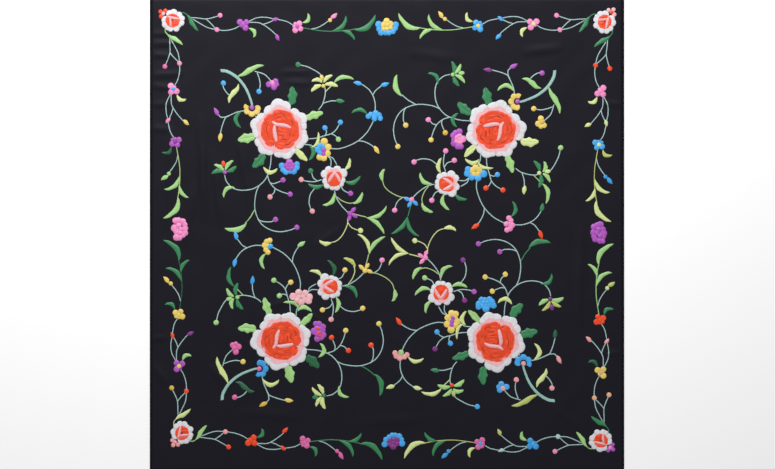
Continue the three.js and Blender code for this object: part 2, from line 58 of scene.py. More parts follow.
# The rolled hem: its whipping stitches are whipping apart and draw it in by dip
hem = {"width": 4.0, "height": 2.2, "gap": 0.3, "step": 3.0, "whipping": 9.0, "dip": 0.06, "tip": 0.7}

# Soft creases: x and y of the middle, direction in degrees, length, half width and height, in millimetres
creases = [
    (-466, 165, 92, 250, 17, 3.6), (-430, 118, 97, 190, 13, 2.6), (-363, 172, 100, 120, 14, 2.6),
    (-548, 150, 88, 230, 15, 2.6), (-500, 60, 84, 140, 15, 2.2), (-345, 60, 97, 150, 13, 2.2),
    (488, -110, 88, 300, 17, 1.9), (395, 468, 8, 80, 18, 2.4), (-572, 508, 3, 70, 10, 2.4),
    (-568, 484, 4, 90, 11, 2.7), (-574, 454, -3, 60, 10, 2.9), (-560, 405, 5, 80, 12, 2.6),
    (-572, 374, -4, 66, 11, 2.2), (-580, 330, 2, 50, 10, 2.0), (-578, 268, -3, 56, 12, 2.0),
    (-230, 412, 2, 70, 10, 2.3), (-224, 384, -3, 56, 9, 2.1), (-585, -262, 4, 50, 11, 2.0),
    (-575, -352, -50, 60, 13, 2.4), (-428, -356, -48, 60, 12, 2.2), (-255, -172, 12, 90, 11, 2.0),
    (-190, -205, -30, 60, 10, 1.8), (-144, -2, 35, 60, 16, 1.2), (120, 452, -6, 110, 20, 1.5),
    (20, -470, 4, 150, 21, 1.3), (-300, -455, -3, 170, 20, 1.2), (452, -462, -38, 90, 18, 1.4),
    (575, 330, -5, 60, 12, 2.2), (578, -300, 6, 54, 11, 2.0),
]


def clothHeight(x, y):
    high = np.zeros_like(x)
    for cx, cy, turn, length, half, height in creases:
        a = math.radians(turn)
        along = (x - cx) * math.cos(a) + (y - cy) * math.sin(a)
        across = (y - cy) * math.cos(a) - (x - cx) * math.sin(a)
        across += cloth["wander"] * half * np.sin(along / half)  # no crease runs quite straight
        u = np.clip(np.abs(along) / (length / 2 + half), 0, 1)
        v = np.clip(np.abs(across) / half, 0, 1)
        high += height * np.cos(u * math.pi / 2) * np.cos(v * math.pi / 2) ** 2
    k = 2 * math.pi / cloth["rippleSize"]
    ripples = np.sin(x * k * 0.61 + 1.3 * np.sin(y * k * 0.31))
    crossed = np.sin(y * k * 0.53 + 1.1 * np.sin(x * k * 0.27))
    return high + cloth["ripple"] * (ripples * crossed + 1) / 2


def toLinear(rgb):
    c = np.asarray(rgb, float) / 255
    return np.where(c <= 0.04045, c / 12.92, ((c + 0.055) / 1.055) ** 2.4)


def risen(low, share):  # from low, where the share is 0, to 1
    return low + (1 - low) * share


threadColour = {name: toLinear(rgb) for name, rgb in threads.items()}


# Stitches: their width, and how they are shaded, in millimetres and shares of the full tone. Painted shade
# darkens the line between two stitches and the end where a stitch sinks or folds, and tint is a random change
# of tone. rows are the places along a stitch where it has a cross line, and shoulder is how soon it reaches
# its full height.
stitch = {
    "width": 1.25, "ridge": 0.2, "tint": 0.07, "valleyShade": 0.74, "endShade": 0.86, "fray": 0.35,
    "shoulder": 0.36, "sunk": -0.25, "rows": (0.0, 0.14, 0.5, 0.86, 1.0),
}


def addPiece(name, mesh, material, node):
    obj = bpy.data.objects.new(name, mesh)
    bpy.context.collection.objects.link(obj)
    mesh.materials.append(material)
    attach(obj, "root")
    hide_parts(node)
    return obj


# The stitches of one piece, laid in the piece's own millimetres and then set in the cloth. which is the
# number of its spray, corner, side or half garland. A colour names one thread, or one for each of these.
class Work:
    def __init__(self, name, x=0.0, y=0.0, turn=0.0, which=0):
        self.name, self.which = name, which
        self.x, self.y = x, y
        self.cos, self.sin = math.cos(math.radians(turn)), math.sin(math.radians(turn))
        self.verts, self.faces, self.colours = [], [], []
        self.spots, self.heights = [], []
        self.count = 0

    def place(self, points):
        gx = self.x + points[..., 0] * self.cos - points[..., 1] * self.sin
        gy = self.y + points[..., 0] * self.sin + points[..., 1] * self.cos
        return gx, gy

    def thread(self, colour):
        names = colour.split()
        return threadColour[names[self.which] if len(names) > 1 else colour]

    # Stitches side by side. left and right hold the lines between them, one place more than stitches, and
    # crown and tone one number or one for each line. ends says how the left and the right ends of the
    # stitches finish: "down" into the cloth, in a "fold" as at a vein, or "flat" on the next colour.
    def lay(self, left, right, colour, crown=0.8, base=0.0, ends="down down", tone=1.0, closed=False,
            rows=stitch["rows"]):
        left, right = np.asarray(left, float), np.asarray(right, float)
        n = len(left) - 1
        if n < 1:
            return
        first, last = ends.split()
        t = np.asarray(rows)
        lines = 2 * n + 1  # one on each stitch and one on either side of it
        columns = np.arange(lines) / 2

        def toLines(value):
            value = np.broadcast_to(value, (n + 1,))[:, None].astype(float)
            return interpolated(value, columns)[:, 0]

        a, b = interpolated(left, columns), interpolated(right, columns)
        run = b - a
        length = np.linalg.norm(run, axis=1, keepdims=True) + 1e-9
        fray = np.repeat(rng.uniform(-1, 1, (n + 1, 2)) * stitch["fray"], 2, axis=0)[:lines]
        a = a + run / length * fray[:, :1]
        b = b + run / length * fray[:, 1:]
        points = a[:, None, :] * (1 - t[None, :, None]) + b[:, None, :] * t[None, :, None]
        gx, gy = self.place(points)
        arch = edgeRise(first, t) * edgeRise(last, 1 - t)
        swell = np.ones(lines) if closed else np.sin(np.linspace(0.12, math.pi - 0.12, lines)) ** 0.35
        ridge = (np.arange(lines) % 2) * stitch["ridge"]
        high = base + (toLines(crown) * swell)[:, None] * arch[None, :]
        high = high + ridge[:, None] * (arch[None, :] > 0.1)
        if first == "down":
            high[:, 0] = stitch["sunk"]
        if last == "down":
            high[:, -1] = stitch["sunk"]
        gz = cloth["wall"] + clothHeight(gx, gy) + high
        shade = toLines(tone)
        shade[1::2] += rng.uniform(-1, 1, n) * stitch["tint"]
        # painted shade: the lines between stitches are darker, and so are the ends where a stitch sinks or
        # folds
        shade[0::2] *= stitch["valleyShade"]
        endShade = risen(stitch["endShade"], np.clip(arch, 0, 1))
        full = shade[:, None, None] * endShade[None, :, None] * self.thread(colour)
        self.verts.append(np.stack([gx, gy, gz], -1).reshape(-1, 3) * mm)
        self.colours.append(np.clip(full, 0, 1).reshape(-1, 3))
        r = len(t)
        corner = np.arange(2 * n)[:, None] * r + np.arange(r - 1)[None, :]
        quads = np.stack([corner, corner + r, corner + r + 1, corner + 1], -1).reshape(-1, 4) + self.count
        self.faces.append(quads)
        column, along = np.meshgrid(np.arange(lines), t, indexing="ij")
        row = np.full_like(column, len(self.heights))
        self.spots.append(np.stack([row, column, along], -1).reshape(-1, 3))
        self.heights.append(float(length.mean()))
        self.count += lines * r

    def build(self, node):
        verts = np.concatenate(self.verts)
        faces = facingUp(verts, np.concatenate(self.faces))
        mesh = newMesh(self.name, verts, faces, np.concatenate(self.colours))
        spreadMap(mesh, np.concatenate(self.spots), np.array(self.heights))
        return addPiece(self.name, mesh, flossSilk, node)


def edgeRise(kind, u):
    low = {"down": 0.0, "fold": 0.3, "flat": 1.0}[kind]
    return risen(low, np.sin(np.clip(u / stitch["shoulder"], 0, 1) * math.pi / 2) ** 0.6)


def interpolated(points, at):
    low = np.clip(np.floor(at).astype(int), 0, len(points) - 1)
    high = np.clip(low + 1, 0, len(points) - 1)
    f = (at - low)[:, None]
    return points[low] * (1 - f) + points[high] * f


def facingUp(verts, faces):
    p = verts[faces]
    d1, d2 = p[:, 2] - p[:, 0], p[:, 3] - p[:, 1]
    up = d1[:, 0] * d2[:, 1] - d1[:, 1] * d2[:, 0]
    faces = faces.copy()
    faces[up < 0] = faces[up < 0][:, ::-1]
    return faces


def newMesh(name, verts, faces, colours=None):
    mesh = bpy.data.meshes.new(name)
    mesh.vertices.add(len(verts))
    mesh.vertices.foreach_set("co", verts.astype(np.float32).ravel())
    mesh.loops.add(faces.size)
    mesh.loops.foreach_set("vertex_index", faces.astype(np.int32).ravel())
    mesh.polygons.add(len(faces))
    mesh.polygons.foreach_set("loop_start", np.arange(0, faces.size, 4, dtype=np.int32))
    mesh.update(calc_edges=True)
    mesh.validate()
    mesh.polygons.foreach_set("use_smooth", np.ones(len(mesh.polygons), bool))
    if colours is not None:
        layer = mesh.color_attributes.new("thread", "FLOAT_COLOR", "POINT")
        rgba = np.ones((len(colours), 4), np.float32)
        rgba[:, :3] = colours
        layer.data.foreach_set("color", rgba.ravel())
    return mesh


# A map for baking, where every row of stitches lies straight. spots holds the row, the line and the place
# along the stitch of each vertex. Long rows are cut, and the pieces lie side by side, the tallest first.
def spreadMap(mesh, spots, heights, gap=1.2):
    step = stitch["width"] / 2
    row = spots[:, 0].astype(int)
    lines = np.array([spots[row == i, 1].max() for i in range(len(heights))])
    room = max(40.0, 1.15 * math.sqrt(float((lines * step * heights).sum())))
    cut = int(room / step)
    pieces = np.ceil(lines / cut).astype(int)
    first = np.concatenate([[0], np.cumsum(pieces)])
    wide = np.concatenate([np.minimum(cut, n - cut * np.arange(k)) * step for n, k in zip(lines, pieces)])
    high = np.repeat(heights, pieces)
    corner = np.zeros((len(wide), 2))
    x = y = gap
    shelf = 0.0
    for i in np.argsort(-high, kind="stable"):
        if x + wide[i] > room + gap:
            x, y, shelf = gap, y + shelf + gap, 0.0
        corner[i] = x, y
        x += wide[i] + gap
        shelf = max(shelf, high[i])
    vertex = np.zeros(len(mesh.loops), np.int32)
    mesh.loops.foreach_get("vertex_index", vertex)
    line = spots[vertex, 1]
    piece = (line.reshape(-1, 4).min(1) // cut).astype(int).repeat(4)
    which = first[row[vertex]] + piece
    across = corner[which, 0] + (line - piece * cut) * step
    up = corner[which, 1] + spots[vertex, 2] * high[which]
    uv = np.stack([across / (room + 2 * gap), up / (y + shelf + gap)], -1)
    mesh.uv_layers.new(name="OFBake").data.foreach_set("uv", uv.astype(np.float32).ravel())


# Shapes that are filled with stitches
def smoothPath(points, step):  # a smooth line as places and headings, an even step apart
    p = np.asarray(points, float)
    ghost = np.vstack([2 * p[0] - p[1], p, 2 * p[-1] - p[-2]])
    t = np.linspace(0, 1, 24, endpoint=False)[:, None]
    fine = []
    for a, b, c, d in zip(ghost, ghost[1:], ghost[2:], ghost[3:]):
        bend = (2 * a - 5 * b + 4 * c - d) * t ** 2 + (3 * b - a - 3 * c + d) * t ** 3
        fine.append(0.5 * (2 * b + (c - a) * t + bend))
    fine = np.vstack(fine + [p[-1:]])
    reach = np.concatenate([[0], np.cumsum(np.linalg.norm(np.diff(fine, axis=0), axis=1))])
    at = np.linspace(0, reach[-1], max(3, int(round(reach[-1] / step)) + 1))
    places = np.stack([np.interp(at, reach, fine[:, k]) for k in (0, 1)], -1)
    heading = np.gradient(places, axis=0)
    heading /= np.linalg.norm(heading, axis=1, keepdims=True) + 1e-9
    return places, heading


def sideways(heading):
    return np.stack([-heading[:, 1], heading[:, 0]], -1)


# Stems: the room of each stitch along the line, in stitch widths, how far it slants, and its height
stemShape = {"room": 1.25, "slant": 0.9, "mostSlant": 1.8, "crown": 0.75, "crownPerWidth": 0.06}


def stem(work, points, colour="mint", width=3.1, tip=None):  # short slanted stitches along a line
    places, heading = smoothPath(points, stitch["width"] * stemShape["room"])
    half = np.linspace(width, width if tip is None else tip, len(places))[:, None] / 2
    side = sideways(heading) * half
    slant = heading * np.minimum(stemShape["slant"] * half, stemShape["mostSlant"])
    crown = stemShape["crown"] + width * stemShape["crownPerWidth"]
    work.lay(places + side - slant, places - side + slant, colour, crown, rows=(0.0, 0.5, 1.0))


# Stitches across a strip. mottle is how far their tone drifts along it, as a running mean of a few stitches.
barShape = {"lean": 0.06, "mean": 5, "drift": 2.2}


def bar(work, points, colour, width, base=0.0, crown=0.9, blunt=0.5, tone=1.0, mottle=0.0):
    places, heading = smoothPath(points, stitch["width"])
    s = np.linspace(0, 1, len(places))
    half = width / 2 * np.clip(np.sin(math.pi * np.clip(s, 0.02, 0.98)), 0, 1) ** blunt
    side = sideways(heading) * half[:, None]
    lean = heading * width * barShape["lean"]
    window = np.ones(barShape["mean"]) / barShape["drift"]
    drift = np.convolve(rng.uniform(-1, 1, len(places) + barShape["mean"] - 1), window, "valid")
    work.lay(places + side - lean, places - side + lean, colour, crown, base, rows=(0.0, 0.2, 0.8, 1.0),
             tone=tone + mottle * drift)


# A narrow leaf is one row of slanted stitches with one full edge. A broad one, with a wave, is two halves
# that fold at its vein, one half painted lighter as the lit side and the other painted darker as the shaded
# side. Slants are in stitches, widths in shares of the leaf's own.
leafShape = {
    "broadSlant": 3, "broadWaves": 4.6, "vein": 0.35, "narrowSlant": (1, 2), "narrowWaves": 5.0,
    "neckLength": 0.26, "full": 1.1, "ruffle": 0.12, "plain": 0.74,
}


def leaf(work, line, width, colour, wave=0.0, neck=0.5):
    line = np.asarray(line, float)
    if len(line) == 3:
        t = np.linspace(0, 1, 9)[:, None]
        bent = 2 * line[1] - (line[0] + line[2]) / 2  # so that the bend runs through the middle point
        line = (1 - t) ** 2 * line[0] + 2 * t * (1 - t) * bent + t ** 2 * line[2]
    spine, heading = smoothPath(line, stitch["width"])
    n = len(spine)
    s = np.linspace(0, 1, n)
    side = sideways(heading)
    if wave:
        half = width / 2 * np.sin(math.pi * np.clip(s, 0.03, 0.97) ** 0.9) ** 0.5
        ahead = np.clip(np.arange(n) + leafShape["broadSlant"], 0, n - 1)  # stitches slant to the tip
        # painted light and shade: one half is lighter as if lit, the other darker as if in shade
        for sign, tone in ((1, 1.04), (-1, 0.95)):
            swing = np.sin(s * math.pi * leafShape["broadWaves"] + 0.8 * sign)
            ripple = wave * swing * np.sin(math.pi * s)
            edge = spine + sign * side * (half + ripple)[:, None]
            work.lay(spine - sign * side * leafShape["vein"], edge[ahead], colour, crown=1.0, base=0.1,
                     ends="fold down", tone=tone, rows=(0.0, 0.14, 0.36, 0.8, 1.0))
        return
    bend = (spine[n // 2] - (spine[0] + spine[-1]) / 2) @ side[n // 2]
    half = width / 2 * np.sin(math.pi * np.clip(s, 0.012, 0.98) ** 0.9) ** 0.68
    half = half * risen(neck, np.clip(s / leafShape["neckLength"], 0, 1))  # narrow where it leaves the stem
    swing = np.sin(s * math.pi * leafShape["narrowWaves"] + 0.6)
    full = half * (leafShape["full"] + leafShape["ruffle"] * swing)
    plain = half * leafShape["plain"]
    upper, lower = (full, plain) if bend > 0 else (plain, full)  # the outer edge of the bend is the full one
    back = np.clip(np.arange(n) - leafShape["narrowSlant"][0], 0, n - 1)
    ahead = np.clip(np.arange(n) + leafShape["narrowSlant"][1], 0, n - 1)
    left = (spine + side * upper[:, None])[back]
    right = (spine - side * lower[:, None])[ahead]
    work.lay(left, right, colour, crown=1.1, rows=(0.0, 0.16, 0.5, 0.84, 1.0))


# A round petal, knot or blunt bud: stitches along it, side by side over its width. It is a little squarer
# than an ellipse, whose power would be 2.
padPower = 2.3


def pad(work, x, y, long, wide, turn, colour, crown=1.1, base=0.0, tone=1.0, ends="down down"):
    n = max(3, int(round(wide / stitch["width"])))
    v = np.linspace(-0.985, 0.985, n + 1)
    reach = (1 - np.abs(v) ** padPower) ** (1 / padPower) * long / 2
    a = math.radians(turn)
    along = np.array([math.cos(a), math.sin(a)])
    across = np.array([-along[1], along[0]])
    middle = np.array([x, y]) + across * (v * wide / 2)[:, None]
    half = along * reach[:, None]
    work.lay(middle - half, middle + half, colour, crown, base, ends, tone)


def knot(work, x, y, size, colour, crown=1.4, base=0.0):
    pad(work, x, y, size, size, 35, colour, crown, base)


dropShape = {"foot": 0.78, "full": 0.6, "lean": 0.14}


def drop(work, x, y, long, wide, turn, colour, crown=1.2):  # a bud with a round foot and a pointed tip
    a = math.radians(turn)
    along = np.array([math.cos(a), math.sin(a)])
    across = np.array([-along[1], along[0]])
    n = max(4, int(round(long / stitch["width"])))
    s = np.linspace(0, 1, n + 1)
    bulge = np.sin(math.pi * np.clip(s, 0.008, 0.98) ** dropShape["foot"]) ** dropShape["full"]
    half = (wide / 2 * bulge)[:, None]
    middle = np.array([x, y]) + along * ((s - 0.5) * long)[:, None]
    lean = along * wide * dropShape["lean"]
    work.lay(middle + across * half - lean, middle - across * half + lean, colour, crown,
             rows=(0.0, 0.25, 0.75, 1.0))


# Round lobes about a middle, as dx, dy and radius, with stitches that point outwards. Their tone changes by
# the swing from one to the next, at its own beat: a painted sheen, as if each lobe caught the light
# differently. A lobe is long radii long.
lobe = {"long": 2.1, "sheenSwing": 0.05, "turn": 40}


def lobes(work, x, y, table, colour, crown=1.2, base=0.1, beat=1.7):
    for dx, dy, radius in table:
        turn = math.degrees(math.atan2(dy, dx)) if dx or dy else lobe["turn"]
        # painted sheen: each lobe is a little lighter or darker than the next
        tone = 1 + lobe["sheenSwing"] * math.sin(dx * beat + dy)
        pad(work, x + dx, y + dy, radius * lobe["long"], radius * 2, turn, colour, crown, base, tone)


# The outline of a flower whose petals are each some round scallops, seen from its middle. The body fills the
# notches between them up to its own radius.
class Scallops:
    def __init__(self, x, y, petals, body=0.0, blend=0.0):
        self.x, self.y, self.body, self.blend = x, y, body, blend
        self.circles = np.array([c for petal in petals for c in petal], float)
        self.petal = np.array([i for i, petal in enumerate(petals) for c in petal])

    def at(self, angles):
        ray = np.stack([np.cos(angles), np.sin(angles)], -1)
        along = ray @ self.circles[:, :2].T
        room = along ** 2 - (self.circles[:, :2] ** 2).sum(1) + self.circles[:, 2] ** 2
        reach = np.where(room > 0, along + np.sqrt(np.maximum(room, 0)), along * 0.5)
        which = reach.argmax(1)
        outer, petal = np.maximum(reach.max(1), self.body), self.petal[which]
        if self.blend:
            near = np.clip(nearChange(petal) / 4.0, 0, 1) * self.blend
            outer = outer * (1 - near) + softened(outer, 5) * near * 1.01
        return outer, which, petal

    def angles(self, start=0, stop=360):
        reach = np.hypot(self.circles[:, 0], self.circles[:, 1]).mean() + self.circles[:, 2].mean()
        n = int(abs(math.radians(stop - start)) * reach / stitch["width"])
        return np.radians(np.linspace(start, stop, n + 1))


def nearChange(kinds, closed=True):  # how many lines each line is from the nearest place where kinds changes
    n = len(kinds)
    changes = [i for i in range(n) if kinds[i] != kinds[i - 1] and (closed or i)]
    if not changes:
        return np.full(n, 99.0)
    gap = np.abs(np.arange(n)[:, None] - np.array(changes)[None, :] + 0.5)
    return np.minimum(gap, n - gap).min(1) if closed else gap.min(1)


def softened(values, spread):  # a running mean round a closed line
    reach = np.arange(-3 * spread, 3 * spread + 1)
    weight = np.exp(-(reach / spread) ** 2 / 2)
    wrapped = values[:-1]
    rolled = sum(w * np.roll(wrapped, int(r)) for w, r in zip(weight, reach)) / weight.sum()
    return np.append(rolled, rolled[0])


# Seams where two scallops or two petals meet: how many lines wide, how low, and how dark their painted shade
# is
seams = {"lines": 2.2, "scallopHeight": 0.72, "petalHeight": 0.6, "scallopShade": 0.94, "petalShade": 0.82}


# Stitches from an inner line out to the scallops
def petalRing(work, shape, inner, colour, start=0, stop=360, crown=1.1, base=0.2, ragged=0.0,
              ends="flat down"):
    angles = shape.angles(start, stop)
    closed = abs(stop - start) == 360
    outer, scallop, petal = shape.at(angles)
    seam = np.clip(nearChange(scallop, closed) / seams["lines"], 0, 1)
    split = np.clip(nearChange(petal, closed) / seams["lines"], 0, 1)
    height = crown * risen(seams["scallopHeight"], seam) * risen(seams["petalHeight"], split)
    # painted shade: the stitches darken towards a seam between two scallops, and more between two petals
    tone = risen(seams["scallopShade"], seam) * risen(seams["petalShade"], split)
    foot = inner(angles, outer, petal) if callable(inner) else np.full(len(angles), float(inner))
    foot = foot + rng.uniform(-ragged, ragged, len(angles))
    ray = np.stack([np.cos(angles), np.sin(angles)], -1)
    middle = np.array([shape.x, shape.y])
    work.lay(middle + ray * foot[:, None], middle + ray * outer[:, None], colour, height, base, ends, tone,
             closed, rows=(0.0, 0.4, 0.8, 0.93, 1.0))


# Stitches between two lines about a middle, each given as one radius for each angle
def ringBetween(work, x, y, angles, inner, outer, colour, crown, base, tone=1.0, closed=True, ragged=0.0):
    ray = np.stack([np.cos(angles), np.sin(angles)], -1)
    middle = np.array([x, y])
    inner = inner + rng.uniform(-ragged, ragged, len(angles))
    outer = outer + rng.uniform(-ragged, ragged, len(angles))
    work.lay(middle + ray * inner[:, None], middle + ray * outer[:, None], colour, crown, base, "flat flat",
             tone, closed)


def disc(work, x, y, table, colour, crown, base, tone):  # stitches that meet in a middle
    angles = np.radians(np.linspace(0, 360, 8 * int(max(radius for deg, radius in table) ** 0.87)))
    edge = around(table, angles)
    ringBetween(work, x, y, angles, 0 * edge + 1, edge, colour, crown, base, tone=tone, ragged=0.8)


def around(table, angles):  # a radius for each angle, from a table of degrees and radii
    table = sorted((deg % 360, radius) for deg, radius in table)
    deg = np.array([row[0] for row in table])
    radius = np.array([row[1] for row in table])
    return np.interp(np.degrees(angles) % 360, deg, radius, period=360)


# The large rose, about its own middle: the scallops of its six petals as x, y and radius
roseMiddle = (0.8, 1.6)
rosePetals = [
    [(16, 57, 13), (-4, 60, 17), (-27, 47, 12)],
    [(-46, 28, 12), (-59, 11.5, 15.5), (-51, -7.5, 17.5)],
    [(-51, -33, 12.5), (-41, -52, 13), (-25, -57, 11)],
    [(-2, -61, 12.5), (19, -64, 14), (31, -54, 11)],
    [(50, -40, 11.5), (60, -25, 13.7), (56, -11, 13.4)],
    [(58, 6, 11.4), (56, 26, 15), (38, 41, 11.5)],
]
# The edge of the red, as degrees and radius
heartEdge = [
    (83, 48), (65, 49), (47, 46), (25, 45), (5, 49), (-14, 51), (-33, 52), (-52, 51), (-70, 52), (-90, 53),
    (-101, 48), (-108, 43), (-114, 49), (-125, 50), (-143, 49), (-166, 48), (180, 47), (168, 46), (157, 45),
    (142, 43), (130, 44), (118, 43), (105, 45), (93, 47),
]
# The heart is a disc of stitches with padded strips over it; the disc is painted darker, as shade in the gaps
# between the strips. The strips: their points, width and tone
heartStrips = [
    ([(-21, 43), (-4, 47), (16, 45)], 12, 0.94), ([(14, 46), (29, 38), (38, 25)], 13, 1.04),
    ([(39, 27), (45, 12), (46, -4)], 13, 1.0), ([(47, -4), (46, -18), (38, -32)], 14, 1.07),
    ([(39, -31), (28, -42), (12, -48)], 13, 0.98), ([(13, -47), (2, -46), (-9, -39)], 13, 1.05),
    ([(-15, -44), (-28, -37), (-38, -26)], 12, 1.08), ([(-37, -28), (-42, -13), (-41, 4)], 13, 1.03),
    ([(-41, 2), (-39, 14), (-31, 26)], 13, 0.98), ([(-32, 24), (-28, 34), (-18, 41)], 12, 1.1),
    ([(-13, 28), (-2, 36), (12, 34)], 12, 0.9), ([(-14, 20), (2, 24), (17, 19)], 12, 1.08),
    ([(15, 33), (26, 25), (31, 11)], 13, 0.95), ([(32, 12), (36, 1), (33, -14)], 12, 1.06),
    ([(34, -13), (32, -26), (21, -36)], 12, 1.0), ([(-31, -24), (-22, -34), (-14, -39)], 11, 1.0),
    ([(-31, -22), (-32, -6), (-29, 12)], 12, 1.04), ([(-29, 8), (-27, 19), (-18, 25)], 11, 1.12),
    ([(-21, 4), (-21, -10), (-17, -28)], 10, 0.93), ([(-8, 4), (8, 4), (26, 1)], 9.5, 1.0),
    ([(-8, -4), (8, -4), (27, -5)], 9.5, 1.06), ([(-8, -12), (8, -12), (26, -12)], 9.5, 0.93),
    ([(-6, -20), (8, -20), (24, -19)], 9.5, 1.02), ([(-6, -28), (6, -29), (22, -27)], 10, 0.97),
    ([(-8, -36), (4, -37), (20, -36)], 10, 1.04),
]
# Short patches that turn across the strips: x, y, length, width, direction and tone
heartPatches = [
    (-4, 42, 9, 15, 80, 1.1), (27, 39, 9, 13, 40, 0.92), (44, 15, 9, 13, 10, 1.12),
    (47, -16, 9, 12, -10, 0.9), (33, -37, 9, 14, -45, 1.14), (4, -47, 8, 15, -85, 0.9),
    (-30, -35, 9, 13, -130, 0.94), (-42, -10, 8, 15, 182, 0.9), (-33, 27, 9, 13, 140, 0.93),
    (-26, 2, 8, 14, 176, 1.1), (-19, -31, 8, 12, -115, 1.1), (11, 25, 8, 15, 70, 0.93),
    (31, 3, 9, 12, 0, 0.9), (25, -33, 9, 13, -60, 0.92), (6, -3, 12, 8, 84, 0.95),
    (16, -18, 12, 8, 95, 1.1), (2, -24, 11, 8, 70, 1.08), (14, 3, 11, 7, 100, 1.08),
    (8, -38, 9, 13, 260, 1.1), (-22, 16, 9, 12, 150, 0.95), (0.5, 0.5, 10, 10, 95, 1.02),
]
# Darker silk in the folds of the heart, and the blush bars over it: their points and width
heartFolds = [
    ([(-14, 31), (-8, 38), (3, 41), (12, 37), (16, 28)], 2.8), ([(-11, 27), (-2, 30), (8, 28)], 2.2),
    ([(30, 25), (34, 18), (35, 10)], 3.0), ([(27, -7), (28, -12), (26, -18)], 2.8),
    ([(37, -12), (34, -18)], 3.4), ([(1, -15), (9, -17), (18, -15)], 3.2),
    ([(3, -28), (12, -25), (21, -27)], 4.4), ([(14, -37), (23, -38), (31, -30)], 4.4),
    ([(-23, 22), (-30, 10), (-31, -5), (-26, -20)], 2.6), ([(-17, -35), (-13, -43)], 3.0),
    ([(-38, 14), (-29, 21)], 2.6), ([(-2, 9), (-6, -4), (-2, -18)], 2.0),
]
heartBars = [
    ([(-17, 20), (-11, 15), (-3, 12), (7, 11), (17, 9.5), (30, 4)], 12.5),
    ([(-11, 10), (-12, 1), (-11, -9), (-9, -20), (-6, -31)], 13.5),
]


# How deep the white and the blush are, from the edge of the petals inwards, and how dark the painted shade on
# the blush is where two petals meet
roseBorder = {"thin": 7.0, "deeper": 8.0, "within": 14.0, "tuck": 4.0, "blushTuck": 2.5, "seamShade": 0.84}


def sewLargeRose(work):
    b = roseBorder
    shape = Scallops(*roseMiddle, rosePetals, body=57, blend=0.55)
    angles = shape.angles()
    outer, scallop, petal = shape.at(angles)
    split = nearChange(petal)
    # the white is deep in the middle of each petal and thin where two meet
    border = softened(outer, 6) - b["thin"] - b["deeper"] * np.clip(split / b["within"], 0, 1) ** 0.7
    petalRing(work, shape, lambda *line: border - b["tuck"], "white", crown=1.1, base=0.3, ragged=1.0)
    # painted shade: the blush darkens where two petals meet
    away = np.clip(split / seams["lines"], 0, 1)
    ringBetween(work, *roseMiddle, angles, around(heartEdge, angles) - b["blushTuck"], border, "blush",
                crown=0.95 + 0.2 * away, base=0.5, tone=risen(b["seamShade"], away), ragged=1.6)


def sewHeart(work):
    # painted shade: the disc is darker where it shows between the strips
    disc(work, *roseMiddle, heartEdge, "poppy", crown=1.0, base=0.75, tone=0.86)
    for points, width, tone in heartStrips:
        bar(work, points, "poppy", width, base=1.1, crown=0.8, blunt=0.4, tone=tone, mottle=0.07)
    for x, y, long, wide, turn, tone in heartPatches:
        pad(work, x, y, long, wide, turn, "poppy", crown=0.7, base=1.35, tone=tone, ends="fold fold")
    for points, width in heartFolds:
        bar(work, points, "brick", width, base=1.75, crown=0.45, blunt=0.6)
    for points, width in heartBars:
        bar(work, points, "blush", width, base=1.7, crown=0.9, blunt=0.26)


